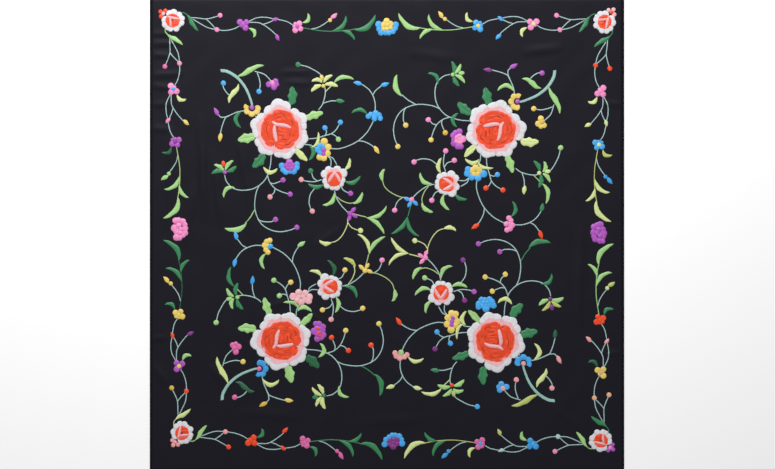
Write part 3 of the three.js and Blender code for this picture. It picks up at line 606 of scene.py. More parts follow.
# One spray about the middle of its large rose, in millimetres. Colours are given for the top left, top
# right, bottom right and bottom left spray in turn; one name serves all four.
sprayStems = [
    dict(points=[(-148, 149), (-130, 146), (-105, 130), (-85, 105), (-72, 75), (-67, 56)], width=9.6, tip=6.2,
         colour="stalk"),
    dict(points=[(-60, 34), (-52, 22)]),
    dict(points=[(-62, 147), (-50, 144), (-37, 139), (-27, 130), (-20, 121)]),
    dict(points=[(-56, 144), (-51, 131), (-48, 116), (-49, 103)]),
    dict(points=[(-120, 82), (-132, 92), (-140, 104), (-142, 112)]),
    dict(points=[(-86, 48), (-105, 44), (-122, 37), (-133, 32), (-147, 31), (-154, 38)]),
    dict(points=[(-122, 37), (-135, 30), (-143, 12), (-149, -10)]),
    dict(points=[(100, 50), (109, 62), (115, 80), (117, 98), (114, 112)]),
    dict(points=[(112, 66), (120, 69), (133, 72), (146, 72)]),
    dict(points=[(118, 96), (127, 105), (137, 114)], colour="pistachio apple pistachio apple", width=3.0),
    dict(points=[(106, 138), (97, 145), (85, 152), (70, 159), (53, 163)]),
    dict(points=[(74, -24), (95, -22), (115, -16), (132, -11), (144, -1), (152, 12)]),
    dict(points=[(132, -11), (142, -16), (147, -21)]),
    dict(points=[(117, -15), (120, -6), (118, 0)]),
    dict(points=[(62, -38), (80, -40), (93, -47)]),
    dict(points=[(127, -48), (150, -49), (175, -42), (200, -29), (222, -8), (236, 16), (240, 28)]),
    dict(points=[(200, -29), (215, -31), (232, -39), (242, -47)]),
    dict(points=[(243, 46), (243, 66), (237, 86), (226, 102), (208, 115)]),
    dict(points=[(237, 86), (244, 98), (259, 110)]),
    dict(points=[(124, -68), (131, -78), (131, -93)]),
    dict(points=[(124, -68), (136, -73), (146, -89)]),
    dict(points=[(108, -127), (92, -132), (75, -132), (60, -129)]),
    dict(points=[(98, -131), (87, -123), (82, -110)]),
    dict(points=[(90, -149), (79, -165), (76, -185), (80, -202)]),
    dict(points=[(157, -144), (163, -154), (176, -161)]),
    dict(points=[(140, -155), (145, -173), (157, -192), (171, -207), (177, -212)]),
    dict(points=[(146, -171), (160, -181), (178, -187), (194, -184)], width=3.0,
         colour="reed reed reed pistachio"),
    dict(points=[(193, -215), (208, -219), (221, -222)], width=3.2, colour="reed pine pistachio reed"),
    dict(points=[(174, -226), (172, -243), (161, -266), (147, -281), (131, -287)], width=3.0,
         colour="pistachio reed pistachio reed"),
    dict(points=[(174, -236), (182, -247), (193, -253), (201, -255)], width=3.0,
         colour="pistachio mint pistachio mint"),
    dict(points=[(-20, -66), (-22, -90), (-28, -112), (-36, -128), (-52, -143), (-72, -152), (-96, -154),
                 (-118, -148), (-133, -132), (-138, -116)]),
    dict(points=[(-50, -141), (-58, -160), (-62, -190), (-58, -215), (-46, -238), (-25, -253), (0, -259),
                 (24, -256), (40, -250)]),
    dict(points=[(-55, -227), (-42, -233), (-22, -234), (-14, -231)]),
    dict(points=[(-62, -203), (-72, -221), (-86, -238)], width=3.2, colour="apple mint pine pine"),
    dict(points=[(-29, -118), (-24, -133), (-12, -148), (4, -157), (22, -163)]),
    dict(points=[(-21, -136), (-12, -137), (4, -131)]),
    dict(points=[(-10, -150), (-13, -160), (-20, -167)]),
]

# Knots as x, y and colours, and buds with their direction too
sprig = {"knot": 13.5, "budLength": 21, "budWidth": 12}
sprayKnots = [
    (-51, 96, "sky gold salmon gold"), (-141, 117, "sky violet salmon rose"),
    (48, 164, "pine apple sky apple"), (155, 18, "sky poppy plum apple"),
    (150, -25, "apple poppy sky gold"), (116, 4, "sky sky sky apple"),
    (56, -127, "salmon pink violet salmon"), (80, -105, "pine pink plum gold"),
    (84, -207, "salmon pink plum gold"), (181, -162, "violet pink apple gold"),
    (206, -256, "pistachio pink pistachio pink"), (45, -248, "violet gold violet gold"),
    (-9, -228, "violet gold violet poppy"), (28, -164, "violet gold gold gold"),
    (10, -128, "violet amber gold poppy"), (-23, -171, "salmon pink gold poppy"),
]
sprayBuds = [
    (-159, 45, 125, "violet violet salmon amber"), (-149, -20, 270, "gold plum moss gold"),
    (155, 72, 0, "pine pistachio pine azure"), (247, -52, -50, "gold poppy poppy apple"),
    (199, 117, 175, "sky pine pistachio sky"), (268, 114, 25, "sky poppy pistachio sky"),
]

# Narrow leaves bend through a middle point. The five broad ones have a wavy edge.
sprayLeaves = [
    dict(line=[(-107, 133), (-90, 139), (-73, 149), (-57, 158), (-38, 162)], width=15,
         colour="apple apple olive pistachio"),
    dict(line=[(-102, 116), (-105, 103), (-115, 91), (-124, 80), (-127, 66)], width=14,
         colour="pistachio apple pistachio moss"),
    dict(line=[(-94, 46), (-109, 26), (-96, 4)], width=12, colour="pine apple pistachio pistachio"),
    dict(line=[(-60, -18), (-82, -22), (-104, -27)], width=24, colour="apple pine pine apple", wave=1.9),
    dict(line=[(30, 62), (34, 84), (32, 108)], width=23, colour="pine pistachio pine apple", wave=1.9),
    dict(line=[(66, 27), (88, 36), (111, 42)], width=20, colour="apple apple pine apple", wave=1.9),
    dict(line=[(-38, -62), (-50, -80), (-67, -95)], width=24, colour="pine pine pine moss", wave=1.9),
    dict(line=[(41, -48), (54, -64), (71, -79)], width=17, colour="pistachio pistachio apple apple",
         wave=0.6),
    dict(line=[(138, 116), (160, 131), (190, 126)], width=12, colour="apple apple pistachio pine"),
    dict(line=[(81, -45), (96, -33), (99, -6)], width=9.5, colour="pistachio pistachio pistachio apple"),
    dict(line=[(76, -42), (86, -58), (75, -78)], width=12, colour="pine pistachio pistachio apple"),
    dict(line=[(223, 37), (205, 49), (183, 41)], width=11, colour="pine pine pistachio apple"),
    dict(line=[(162, -103), (175, -92), (178, -72)], width=11, colour="pistachio pine apple pistachio"),
    dict(line=[(165, -129), (186, -134), (206, -117)], width=12, colour="pine apple apple moss"),
    dict(line=[(113, -138), (95, -145), (73, -137)], width=12, colour="pine pistachio apple apple"),
    dict(line=[(139, -160), (132, -183), (110, -191)], width=12, colour="apple apple apple pine"),
    dict(line=[(187, -188), (202, -178), (211, -158)], width=12, colour="apple apple apple olive"),
    dict(line=[(221, -223), (253, -216), (272, -193)], width=11, colour="apple pine pistachio pistachio"),
    dict(line=[(221, -224), (247, -238), (266, -265)], width=12, colour="apple pine pistachio apple"),
    dict(line=[(134, -286), (115, -288), (102, -280)], width=12, colour="pistachio apple pistachio apple"),
    dict(line=[(-40, -94), (-23, -108), (-4, -98)], width=12, colour="pistachio pine pistachio apple"),
    dict(line=[(-111, -148), (-133, -152), (-140, -173)], width=11, colour="apple pine pine apple"),
    dict(line=[(-82, -236), (-105, -252), (-138, -250)], width=15, colour="apple apple pine pine"),
]


def sewVine(work):
    for row in sprayStems:
        stem(work, **row)
    for row in sprayLeaves:
        leaf(work, **row)
    for x, y, colour in sprayKnots:
        knot(work, x, y, sprig["knot"], colour)
    for x, y, turn, colour in sprayBuds:
        drop(work, x, y, sprig["budLength"], sprig["budWidth"], turn, colour)
    for flower in (cup, rosette, farFlower, trefoil):
        sewSmallFlower(work, flower)
    for lily in lilies:
        sewLily(work, lily)


# Small flowers of the spray: lobes and cores as x, y and radius, drops with length, width and direction too
cup = dict(x=-69, y=54, open=(148, 390), inner=7.8, colour="gold gold sky azure",
           petals=[[(-12, 3, 9), (-12, -8, 8.5)], [(0, -14, 9)], [(12, -8, 9), (15, -1, 8)]],
           core=[(0, 1, 6.4)], coreColour="violet violet salmon rose")
rosette = dict(x=-16, y=115, colour="violet gold sky rose",
               lobes=[(-10, -1, 7.5), (3, -8, 7.5), (10, -1, 6), (7, 7, 7)],
               core=[(-1, 3, 6.6)], coreColour="pink amber salmon rose")
farFlower = dict(x=241, y=33, colour="sky pink salmon gold",
                 lobes=[(-15, 0, 6.8), (-9, 5, 6.6), (3, 8, 7.5), (12, 3, 7), (15, -5, 6.6), (1, 1, 6.5)],
                 core=[(0, -6, 7.2)], coreColour="sky pink apple sky")
trefoil = dict(x=180, y=-213, colour="violet sky pink gold",
               drops=[(7, 8, 19, 11, 238), (10, -4.5, 18, 11, 158), (-2, -10, 18, 11, 82)],
               core=[(-1, 0, 6.4)], coreColour="violet pink pink gold")


def sewSmallFlower(work, f):
    x, y = f["x"], f["y"]
    if "petals" in f:
        shape = Scallops(x, y, f["petals"], body=15)
        petalRing(work, shape, f["inner"], f["colour"], *f["open"], ends="down down")
    lobes(work, x, y, f.get("lobes", ()), f["colour"])
    for dx, dy, long, wide, turn in f.get("drops", ()):
        drop(work, x + dx, y + dy, long, wide, turn, f["colour"])
    for dx, dy, radius in f["core"]:
        knot(work, x + dx, y + dy, radius * 2, f["coreColour"], base=0.5)


# Lilies: two light petals, two sepals, a bud between them and a knot below
lilies = [
    dict(core=(112, 110), bud=(-4, 21, 100),
         light=[[(-3, 8), (-15, 15), (-30, 11)], [(2, 8), (9, 19), (24, 27)]],
         sepal=[[(-4, 0), (-17, -3), (-31, -15)], [(4, 2), (18, 4), (37, -2)]],
         colours=dict(light="pistachio apple apple apple", sepal="pistachio pine apple pine",
                      bud="gold pistachio olive apple", core="gold pistachio poppy apple")),
    dict(core=(-137, -109), bud=(-4, 22, 98),
         light=[[(-3, 4), (-14, 14), (-28, 20)], [(1, 5), (9, 20), (22, 30)]],
         sepal=[[(-4, 0), (-18, 3), (-34, -4)], [(4, 3), (16, 7), (29, 17)]],
         colours=dict(light="apple apple olive pistachio", sepal="pine pine apple pistachio",
                      bud="poppy apple plum pine", core="violet apple plum pine")),
]
lilyWidths = {"sepal": 13, "light": 11.5}
lilyBud = {"long": 16, "wide": 10, "crown": 1.3}
lilyCore = {"long": 11, "wide": 10, "turn": 80, "crown": 1.6, "base": 0.4}


def sewLily(work, lily):
    x, y = lily["core"]
    for part, width in lilyWidths.items():
        for line in lily[part]:
            leaf(work, [(x + dx, y + dy) for dx, dy in line], width, lily["colours"][part], neck=1.0)
    dx, dy, turn = lily["bud"]
    pad(work, x + dx, y + dy, turn=turn, colour=lily["colours"]["bud"], **lilyBud)
    pad(work, x, y, colour=lily["colours"]["core"], **lilyCore)


# The oval blossom: lobes as x, y and radius about its middle, and a core that differs in the four sprays
ovalBlossom = dict(x=109, y=-51, groups=[
    dict(colour="gold sky gold blush",
         lobes=[(5, 20, 9.3), (15, 6, 8.6), (13, -10, 8.6), (4, -21, 8.4), (-6, -19, 8.4)]),
    dict(colour="sky gold gold blush", lobes=[(-5, 9, 8.0), (-10, 0, 8.6), (-4, -9, 8.0), (4, 6, 6.5)]),
    dict(colour="violet gold gold blush", lobes=[(5, -5, 6.5)]),
], cores=[[(3, -2, 5.8), (3, -11, 5.4)], [], [(4, 8, 5.4), (3, 0, 5.6), (1, -9, 5.4)], []])


def sewOval(work):
    f = ovalBlossom
    for group in f["groups"]:
        lobes(work, f["x"], f["y"], group["lobes"], group["colour"], crown=1.4, base=0.3, beat=1.0)
    for dx, dy, radius in f["cores"][work.which]:
        pad(work, f["x"] + dx, f["y"] + dy, radius * lobe["long"], radius * 2, 0, "violet", crown=0.9,
            base=1.5, ends="fold fold")


# The fan blossom: petals at the left, bottom and right, a dome above their middle, and knots in one spray
fanBlossom = dict(
    x=26, y=-92, petal="sky violet sky violet", dome="violet pink sky violet",
    petals=[(-19, 0, 8), (-16, -10, 7), (-9, -15, 8), (3, -14, 7), (11, -14, 8), (18, -4, 8), (19, 4, 7)],
    domes=[(-8, 0, 7), (8, 1, 7), (0, 8, 9), (-4, -7, 6.5), (6, -7, 6.5), (0, 0, 7)],
    cores=[[], [], [], [(-11, -7, 4.2), (-4, -4, 4.8), (7, -2, 4.8)]],
)


def sewFan(work):
    f = fanBlossom
    lobes(work, f["x"], f["y"], f["petals"], f["petal"], crown=1.3, base=0.2)
    lobes(work, f["x"], f["y"], f["domes"], f["dome"], crown=1.5, base=0.8)
    lobes(work, f["x"], f["y"], f["cores"][work.which], "poppy", crown=1.4, base=1.3)


# The small rose: scallops of its five petals about its middle
smallRose = dict(
    x=138, y=-122, foot=11, body=25, blush=dict(start=-8, stop=188, lines=62, inner=15, deep=8),
    petals=[[(9, 20, 10.5), (23, 11, 12)], [(-13, 20, 9.5), (-22, 9, 11)], [(-19, -9, 10), (-16, -19, 9.5)],
            [(-3, -24, 8.5), (8, -24, 9)], [(17, -15, 9.5), (20, -6, 10)]],
)


def sewSprayRose(work):
    r = smallRose
    shape = Scallops(r["x"], r["y"], r["petals"], r["body"])
    petalRing(work, shape, r["foot"], "white", crown=1.1, base=0.3)
    b = r["blush"]
    angles = np.radians(np.linspace(b["start"], b["stop"], b["lines"]))
    taper = np.sin(np.linspace(0, math.pi, b["lines"])) ** 0.4
    ringBetween(work, r["x"], r["y"], angles, r["foot"] + 0 * angles, b["inner"] + b["deep"] * taper, "blush",
                crown=1.0, base=0.6, closed=False, ragged=1.2)


# Its heart: a red disc with raised arcs, and a blush bar down each side between them
smallHeart = dict(
    x=1, y=-3, base=0.75, tone=0.93,
    edge=[(90, 17), (55, 19), (15, 19), (-20, 19), (-60, 20), (-90, 19), (-120, 20), (-160, 19), (160, 18),
          (122, 18)],
    bars=[
        dict(points=[(2, -19), (2, -8), (2, 4)], width=24, colour="poppy", base=1.0, tone=0.97),
        dict(points=[(-1, 15), (-10, 11), (-15, 3), (-15, -8)], width=9, colour="poppy", base=1.1, tone=1.03),
        dict(points=[(6, 15), (14, 11), (18, 3), (17, -8)], width=9, colour="poppy", base=1.1, tone=1.06),
        dict(points=[(4, 14), (-2, 7), (-8, -2), (-13, -12)], width=11.5, colour="blush", base=1.6,
             tone=0.98),
        dict(points=[(1, 14), (7, 7), (13, -2), (17, -12)], width=11.5, colour="blush", base=1.6, tone=1.0),
    ],
)


def sewDiscAndBars(work, h, x=0, y=0):
    # painted shade: the disc is darker where it shows between the bars
    disc(work, x + h["x"], y + h["y"], h["edge"], "poppy", crown=0.9, base=h["base"], tone=h["tone"])
    for row in h["bars"]:
        points = [(x + dx, y + dy) for dx, dy in row["points"]]
        bar(work, **{**row, "points": points}, blunt=0.36, mottle=0.04)


def sewSmallHeart(work):
    sewDiscAndBars(work, smallHeart, smallRose["x"], smallRose["y"])


# Border: the corner roses and the middle flowers stand in the cloth, and half a garland runs from each corner
# to the next middle. lift moves its far part outwards.
corners = {"tl": (-542, 542), "tr": (551, 538), "br": (541, -522), "bl": (-519, -502)}
middles = {"top": (0, 525), "right": (536, 4), "bottom": (16, -523), "left": (-526, 13)}
halfGarlands = [
    dict(start="tl", end="top", lift=-7), dict(start="tr", end="top", lift=-3),
    dict(start="tl", end="left", lift=2), dict(start="bl", end="left", lift=3),
    dict(start="tr", end="right", lift=-7), dict(start="br", end="right", lift=0),
    dict(start="bl", end="bottom", lift=11), dict(start="br", end="bottom", lift=6),
]
garland = {"run": 530.0, "stem": 2.8, "core": 10, "liftFrom": 30, "liftOver": 120}

# Colours of the eight half garlands, in the order above
garlandColours = dict(
    firstLeaf="pine pine apple pistachio pine pine apple apple",
    outerKnot="pink pink rose amber poppy peach poppy pink",
    innerKnot="pink pink pink poppy poppy peach salmon mint",
    flowerA="violet pink pink violet pink gold poppy azure",
    coreA="violet pistachio sky gold pink peach poppy sky",
    secondLeaf="apple pistachio pistachio apple pistachio moss pine apple",
    budA="violet sky pink poppy pistachio salmon poppy mint",
    budB="violet sky gold plum pistachio salmon poppy olive",
    flowerB="pink sky violet gold sky poppy rose rose",
    coreB="violet gold plum gold pistachio poppy rose sky",
    thirdLeaf="apple pistachio moss pine olive pine pine pistachio",
    lastStem="pine apple reed moss olive apple pine olive",
    smallKnot="gold gold apple gold azure pistachio rose azure",
    lastBud="pink gold apple gold azure olive rose azure",
    lastLeaves="pine apple apple pine pistachio apple pine pine",
    tipLeaf="pine apple apple pine pistachio apple pine pistachio",
)
# Places in a half garland: how far along it, and how far out from it
garlandStems = [
    dict(points=[(19, 20), (28, 20), (37, 14)], colour="firstLeaf"),
    dict(points=[(46, 9), (62, 9), (82, 9), (98, 14), (112, 20)]),
    dict(points=[(82, 9), (93, 0), (106, -13)]),
    dict(points=[(50, 5), (65, -3), (85, -12), (109, -15), (130, -15), (150, -10), (165, -2)]),
    dict(points=[(184, 8), (208, 20), (230, 22), (248, 19)]),
    dict(points=[(184, 8), (210, 8), (222, 4), (235, -4), (250, -16), (256, -22)]),
    dict(points=[(222, 4), (235, 8), (249, 15)]),
    dict(points=[(258, 18), (282, 13), (297, 5)]),
    dict(points=[(318, -1), (345, -5), (370, -8), (395, -8), (420, -6), (440, -3), (458, 1)],
         colour="lastStem"),
    dict(points=[(343, -4), (358, 0), (372, 8), (385, 18)]),
]
garlandLeaves = [
    dict(line=[(34, 17), (43, 7), (50, -7), (63, -24)], width=12.5, colour="firstLeaf"),
    dict(line=[(188, -7), (201, -16), (199, -30)], width=11, colour="secondLeaf"),
    dict(line=[(320, 12), (334, 19), (334, 36)], width=10.5, colour="thirdLeaf"),
    dict(line=[(394, -7), (420, 8), (428, 33)], width=12, colour="lastLeaves"),
    dict(line=[(416, -6), (437, -12), (450, -29)], width=11, colour="lastLeaves"),
    dict(line=[(446, 0), (478, 5), (502, 38)], width=15, colour="tipLeaf"),
]
# A knot has a size, a bud a length, a width and a direction, and a flower its lobes as x, y and radius
garlandBlooms = [
    dict(at=(117, 22), size=12.5, crown=1.4, colour="outerKnot"),
    dict(at=(109, -15), size=12.5, crown=1.4, colour="innerKnot"),
    dict(at=(174, 2), lobes=[(-8, 6, 7.7), (0, 3, 5.0), (8, 6, 7.4), (6, -8, 7.7), (-4, -3, 4.8)],
         colour="flowerA", core="coreA"),
    dict(at=(308, 1), lobes=[(5, 8, 7.4), (-5, 7, 4.8), (8, -5, 6.8), (-5, -9, 7.4), (-7, 0, 5.0)],
         colour="flowerB", core="coreB"),
    dict(at=(254, 18), bud=(15, 10.5, 30), colour="budA"),
    dict(at=(259, -28), bud=(17, 11, -55), colour="budB"),
    dict(at=(389, 20), size=10.5, crown=1.3, colour="smallKnot"),
    dict(at=(399, 31), bud=(19, 12, 50), colour="lastBud"),
]


def sewGarland(work):
    half = halfGarlands[work.which]
    cx, cy = corners[half["start"]]
    mx, my = middles[half["end"]]
    run = math.hypot(mx - cx, my - cy)
    ax, ay = (mx - cx) / run, (my - cy) / run
    level = half["end"] in ("top", "bottom")
    ox, oy = (0.0, math.copysign(1, my)) if level else (math.copysign(1, mx), 0.0)

    def at(point):
        s, t = point
        ramp = min(max((s - garland["liftFrom"]) / garland["liftOver"], 0), 1)
        lifted = t + half["lift"] * ramp * ramp * (3 - 2 * ramp)
        along = s * run / garland["run"]
        return (cx + ax * along + ox * lifted, cy + ay * along + oy * lifted)

    def turned(degrees):
        dx, dy = math.cos(math.radians(degrees)), math.sin(math.radians(degrees))
        return math.degrees(math.atan2(ay * dx + oy * dy, ax * dx + ox * dy))

    def flower(s, t, places, petal, core):
        for ds, dt, radius in places:
            turn = turned(math.degrees(math.atan2(dt, ds)))
            # painted sheen: each lobe is a little lighter or darker than the next
            tone = 1 + lobe["sheenSwing"] * math.sin(ds * 3)
            pad(work, *at((s + ds, t + dt)), radius * lobe["long"], radius * 2, turn, petal, crown=1.2,
                base=0.1, tone=tone)
        pad(work, *at((s, t)), garland["core"], garland["core"], 30, core, crown=0.9, base=1.1,
            ends="fold fold")

    for row in garlandStems:
        colour = garlandColours.get(row.get("colour"), "mint")
        stem(work, [at(p) for p in row["points"]], colour, garland["stem"])
    for row in garlandLeaves:
        leaf(work, [at(p) for p in row["line"]], row["width"], garlandColours[row["colour"]])
    for row in garlandBlooms:
        colour = garlandColours[row["colour"]]
        if "lobes" in row:
            flower(*row["at"], row["lobes"], colour, garlandColours[row["core"]])
        elif "bud" in row:
            long, wide, turn = row["bud"]
            drop(work, *at(row["at"]), long, wide, turned(turn), colour)
        else:
            knot(work, *at(row["at"]), row["size"], colour, row["crown"])


# The corner rose, as it lies in the top left corner: its petals, its heart and the tiny blossom beside it
cornerRose = dict(
    x=0, y=0, body=20, foot=14, base=0.6, tone=0.95,
    petals=[[(2, 19, 10), (-8, 17, 9)], [(-19, 1, 10), (-18, -10, 10)],
            [(-13, -19, 7), (-6, -21, 8), (9, -21, 8)], [(15, -13, 6.5), (21, -6, 8.5)],
            [(23, 5, 7.5), (16, 14, 8)]],
    edge=[(90, 17), (50, 17), (10, 18), (-30, 18), (-70, 18), (-110, 18), (-150, 18), (170, 19), (130, 18)],
    bars=[dict(points=[(-13, 9), (-14, -2), (-10, -13)], width=8, colour="poppy", base=1.0, tone=1.05),
          dict(points=[(-10, 13), (0, 14), (12, 9)], width=8, colour="poppy", base=1.0, tone=1.08),
          dict(points=[(2, 1), (4, -8), (3, -16)], width=12, colour="poppy", base=1.0, tone=0.93),
          dict(points=[(13, -3), (12, -9), (8, -15)], width=8, colour="poppy", base=1.0, tone=1.02),
          dict(points=[(-14, 10), (-3, 7), (8, 5), (17, 3)], width=8.4, colour="blush", base=1.5, tone=1.0),
          dict(points=[(-8, 7), (-6, -3), (-5, -17)], width=7.8, colour="blush", base=1.5, tone=0.97)],
    blossom=[(-31, 22, 5.4), (-19, 24, 5.4), (-30, 10, 5.2)], blossomColour="poppy blush violet salmon",
    core=(-24, 17, 5.2), coreColour="blush poppy pink salmon",
)


def sewCornerRose(work):
    r = cornerRose
    cx, cy, radius = r["core"]
    for dx, dy, reach in r["blossom"]:
        turn = math.degrees(math.atan2(dy - cy, dx - cx))
        pad(work, dx, dy, reach * 2.2, reach * 2, turn, r["blossomColour"], crown=1.1)
    pad(work, cx, cy, radius * 2, radius * 2, 0, r["coreColour"], crown=1.3, base=0.4)
    petalRing(work, Scallops(0, 0, r["petals"], r["body"]), r["foot"], "white", crown=1.1, base=0.3)
    sewDiscAndBars(work, r)


# The flower at the middle of each side: groups of lobes about its middle, one colour each
middleFlowers = [
    dict(side="top", slot="sky_silk", groups=[
        dict(colour="sky", base=0.1, lobes=[(-21, 7, 8.5), (-20, -5, 7), (-15, -14, 7.5), (-4, -14, 7),
                                            (5, -14, 7), (15, -11, 7), (21, -3, 6.5), (22, 6, 8)]),
        dict(colour="gold", base=0.8, lobes=[(-1, 15, 8), (-8, 6, 8), (9, 8, 7.5), (0, 5, 8), (-9, -4, 5.8),
                                             (0, -4, 5.8), (9, -1, 5.8)]),
    ]),
    dict(side="right", slot="violet_silk", groups=[
        dict(colour="violet", base=0.1, lobes=[(4, 21, 8.5), (-4, 20, 7), (-12, 15, 8), (-13, 1, 8.5),
                                               (-12, -9, 7), (-9, -16, 7.5), (3, -20, 7.5), (10, -21, 6.5),
                                               (11, -10, 7), (12, -1, 9), (11, 9, 7)]),
        dict(colour="violet", base=0.8, lobes=[(0, 9, 7), (-3, 0, 7), (4, -8, 7)]),
    ]),
    dict(side="bottom", slot="sky_silk", groups=[
        dict(colour="sky", base=0.1, lobes=[(-22, -8, 7.6), (-19, 4, 6.4), (-11, 10, 6.6), (-3, 15, 6.4),
                                            (5, 15, 6.6), (15, 12, 7.6), (21, 4, 6), (22, -6, 8)]),
        dict(colour="plum", base=0.8, lobes=[(-8, 1, 6.5), (1, 3, 6.5), (10, 4, 6.5), (-9, -8, 6.5),
                                             (1, -4, 8), (10, -7, 6.5), (0, -14, 8)]),
    ]),
    dict(side="left", slot="pink_silk", groups=[
        dict(colour="pink", base=0.1, lobes=[(-9, 22, 8), (-2, 23, 7.5), (9, 20, 8), (14, 12, 7),
                                             (15, 2, 7.5), (15, -9, 7.5), (10, -15, 6.5), (0, -20, 8.5),
                                             (-7, -20, 8.5), (-7, -6, 7.5), (-11, 3, 9.5)]),
        dict(colour="pink", base=0.8, lobes=[(4, 0, 6.5), (-1, 10, 7), (3, -9, 6.5)]),
    ]),
]


def sewMiddleFlower(work):
    for group in middleFlowers[work.which]["groups"]:
        lobes(work, 0, 0, group["lobes"], group["colour"], crown=1.4, base=group["base"])


# Materials. spread is how far the roughness changes to either side, and depth the height of the bump.
silk = {
    "roughness": 0.42, "spread": 0.08, "specular": 0.35, "sheen": 0.25, "sheenRoughness": 0.35,
    "bump": 0.12, "depth": 0.1, "variation": 0.3,
}
crepe = {
    "roughness": 0.5, "spread": 0.1, "specular": 0.1, "sheen": 0.02, "sheenRoughness": 0.6,
    "bump": 0.35, "depth": 0.15, "pebble": 0.9, "colour": (21, 20, 29), "dark": 0.85, "light": 1.2,
}


def addNode(tree, kind, inputs=None, **settings):
    node = tree.nodes.new("ShaderNode" + kind)
    for name, value in settings.items():
        setattr(node, name, value)
    for name, value in (inputs or {}).items():
        node.inputs[name].default_value = value
    return node


def newGroup(name, inputs, outputs):  # each socket has a name and a kind, and may have a value
    group = bpy.data.node_groups.new(name, "ShaderNodeTree")
    for side, sockets in (("INPUT", inputs), ("OUTPUT", outputs)):
        for label, kind, *value in sockets:
            made = group.interface.new_socket(name=label, in_out=side, socket_type="NodeSocket" + kind)
            if value:
                made.default_value = value[0]
    return group, group.nodes.new("NodeGroupInput"), group.nodes.new("NodeGroupOutput")


def makeCrepeWeave():  # the pebbled face of crepe: a height for bump and a slub that breaks up the colour
    group, inside, outside = newGroup(
        "crepe_weave", [("Vector", "Vector"), ("Pebble Size mm", "Float", crepe["pebble"])],
        [("Height", "Float"), ("Slub", "Float")])
    link = group.links.new
    size = addNode(group, "Math", {0: 1 / mm}, operation="DIVIDE")
    pebble = addNode(group, "TexNoise", {"Detail": 2.0})
    stretch = addNode(group, "Mapping", {"Scale": (40.0, 900.0, 40.0)})
    slub = addNode(group, "TexNoise", {"Scale": 1.0})
    total = addNode(group, "Math", operation="ADD")
    link(inside.outputs["Pebble Size mm"], size.inputs[1])
    link(inside.outputs["Vector"], pebble.inputs["Vector"])
    link(size.outputs[0], pebble.inputs["Scale"])
    link(inside.outputs["Vector"], stretch.inputs["Vector"])
    link(stretch.outputs[0], slub.inputs["Vector"])
    link(pebble.outputs["Fac"], total.inputs[0])
    link(slub.outputs["Fac"], total.inputs[1])
    link(total.outputs[0], outside.inputs["Height"])
    link(slub.outputs["Fac"], outside.inputs["Slub"])
    return group


def makeFlossFibres():  # floss silk: a soft change of tone along the thread, and its fibres as a height
    group, inside, outside = newGroup(
        "floss_fibres", [("Vector", "Vector"), ("Thread Colour", "Color"), ("Variation", "Float", 0.12)],
        [("Colour", "Color"), ("Fibre Height", "Float"), ("Gloss", "Float")])
    link = group.links.new
    cloud = addNode(group, "TexNoise", {"Scale": 160.0, "Detail": 3.0})
    fine = addNode(group, "TexNoise", {"Scale": 2600.0})
    centred = addNode(group, "Math", {1: 0.5}, operation="SUBTRACT")
    swing = addNode(group, "Math", {2: 1.0}, operation="MULTIPLY_ADD")
    tone = addNode(group, "VectorMath", operation="SCALE")
    link(inside.outputs["Vector"], cloud.inputs["Vector"])
    link(inside.outputs["Vector"], fine.inputs["Vector"])
    link(cloud.outputs["Fac"], centred.inputs[0])
    link(centred.outputs[0], swing.inputs[0])
    link(inside.outputs["Variation"], swing.inputs[1])
    link(inside.outputs["Thread Colour"], tone.inputs[0])
    link(swing.outputs[0], tone.inputs["Scale"])
    link(tone.outputs[0], outside.inputs["Colour"])
    link(fine.outputs["Fac"], outside.inputs["Fibre Height"])
    link(cloud.outputs["Fac"], outside.inputs["Gloss"])
    return group


def newMaterial(name, look, depth=1.0):
    mat = bpy.data.materials.new(name)
    mat.use_nodes = True
    shader = mat.node_tree.nodes["Principled BSDF"]
    shader.inputs["Specular IOR Level"].default_value = look["specular"] * depth
    shader.inputs["Sheen Weight"].default_value = look["sheen"]
    shader.inputs["Sheen Roughness"].default_value = look["sheenRoughness"]
    return mat, mat.node_tree, shader


def addSurface(tree, shader, look, gloss, height):  # roughness from one output and bump from the other
    link = tree.links.new
    low, high = look["roughness"] - look["spread"], look["roughness"] + look["spread"]
    rough = addNode(tree, "MapRange", {"To Min": low, "To Max": high})
    bump = addNode(tree, "Bump", {"Strength": look["bump"], "Distance": look["depth"] * mm})
    link(gloss, rough.inputs["Value"])
    link(rough.outputs["Result"], shader.inputs["Roughness"])
    link(height, bump.inputs["Height"])
    link(bump.outputs["Normal"], shader.inputs["Normal"])


def crepeMaterial(name, depth=1.0):  # depth is the share of the cloth's own tone and gloss; below 1 it is painted shade
    mat, tree, shader = newMaterial(name, crepe, depth)
    link = tree.links.new
    place = addNode(tree, "TexCoord")
    weave = addNode(tree, "Group", node_tree=crepeWeave)
    weave.inputs["Pebble Size mm"].default_value = crepe["pebble"]
    tone = toLinear(crepe["colour"]) * depth
    dark, light = (*(tone * crepe["dark"]), 1), (*(tone * crepe["light"]), 1)
    ramp = addNode(tree, "Mix", {"A": dark, "B": light}, data_type="RGBA")
    link(place.outputs["Object"], weave.inputs["Vector"])
    link(weave.outputs["Slub"], ramp.inputs["Factor"])
    link(ramp.outputs["Result"], shader.inputs["Base Color"])
    addSurface(tree, shader, crepe, weave.outputs["Slub"], weave.outputs["Height"])
    return mat


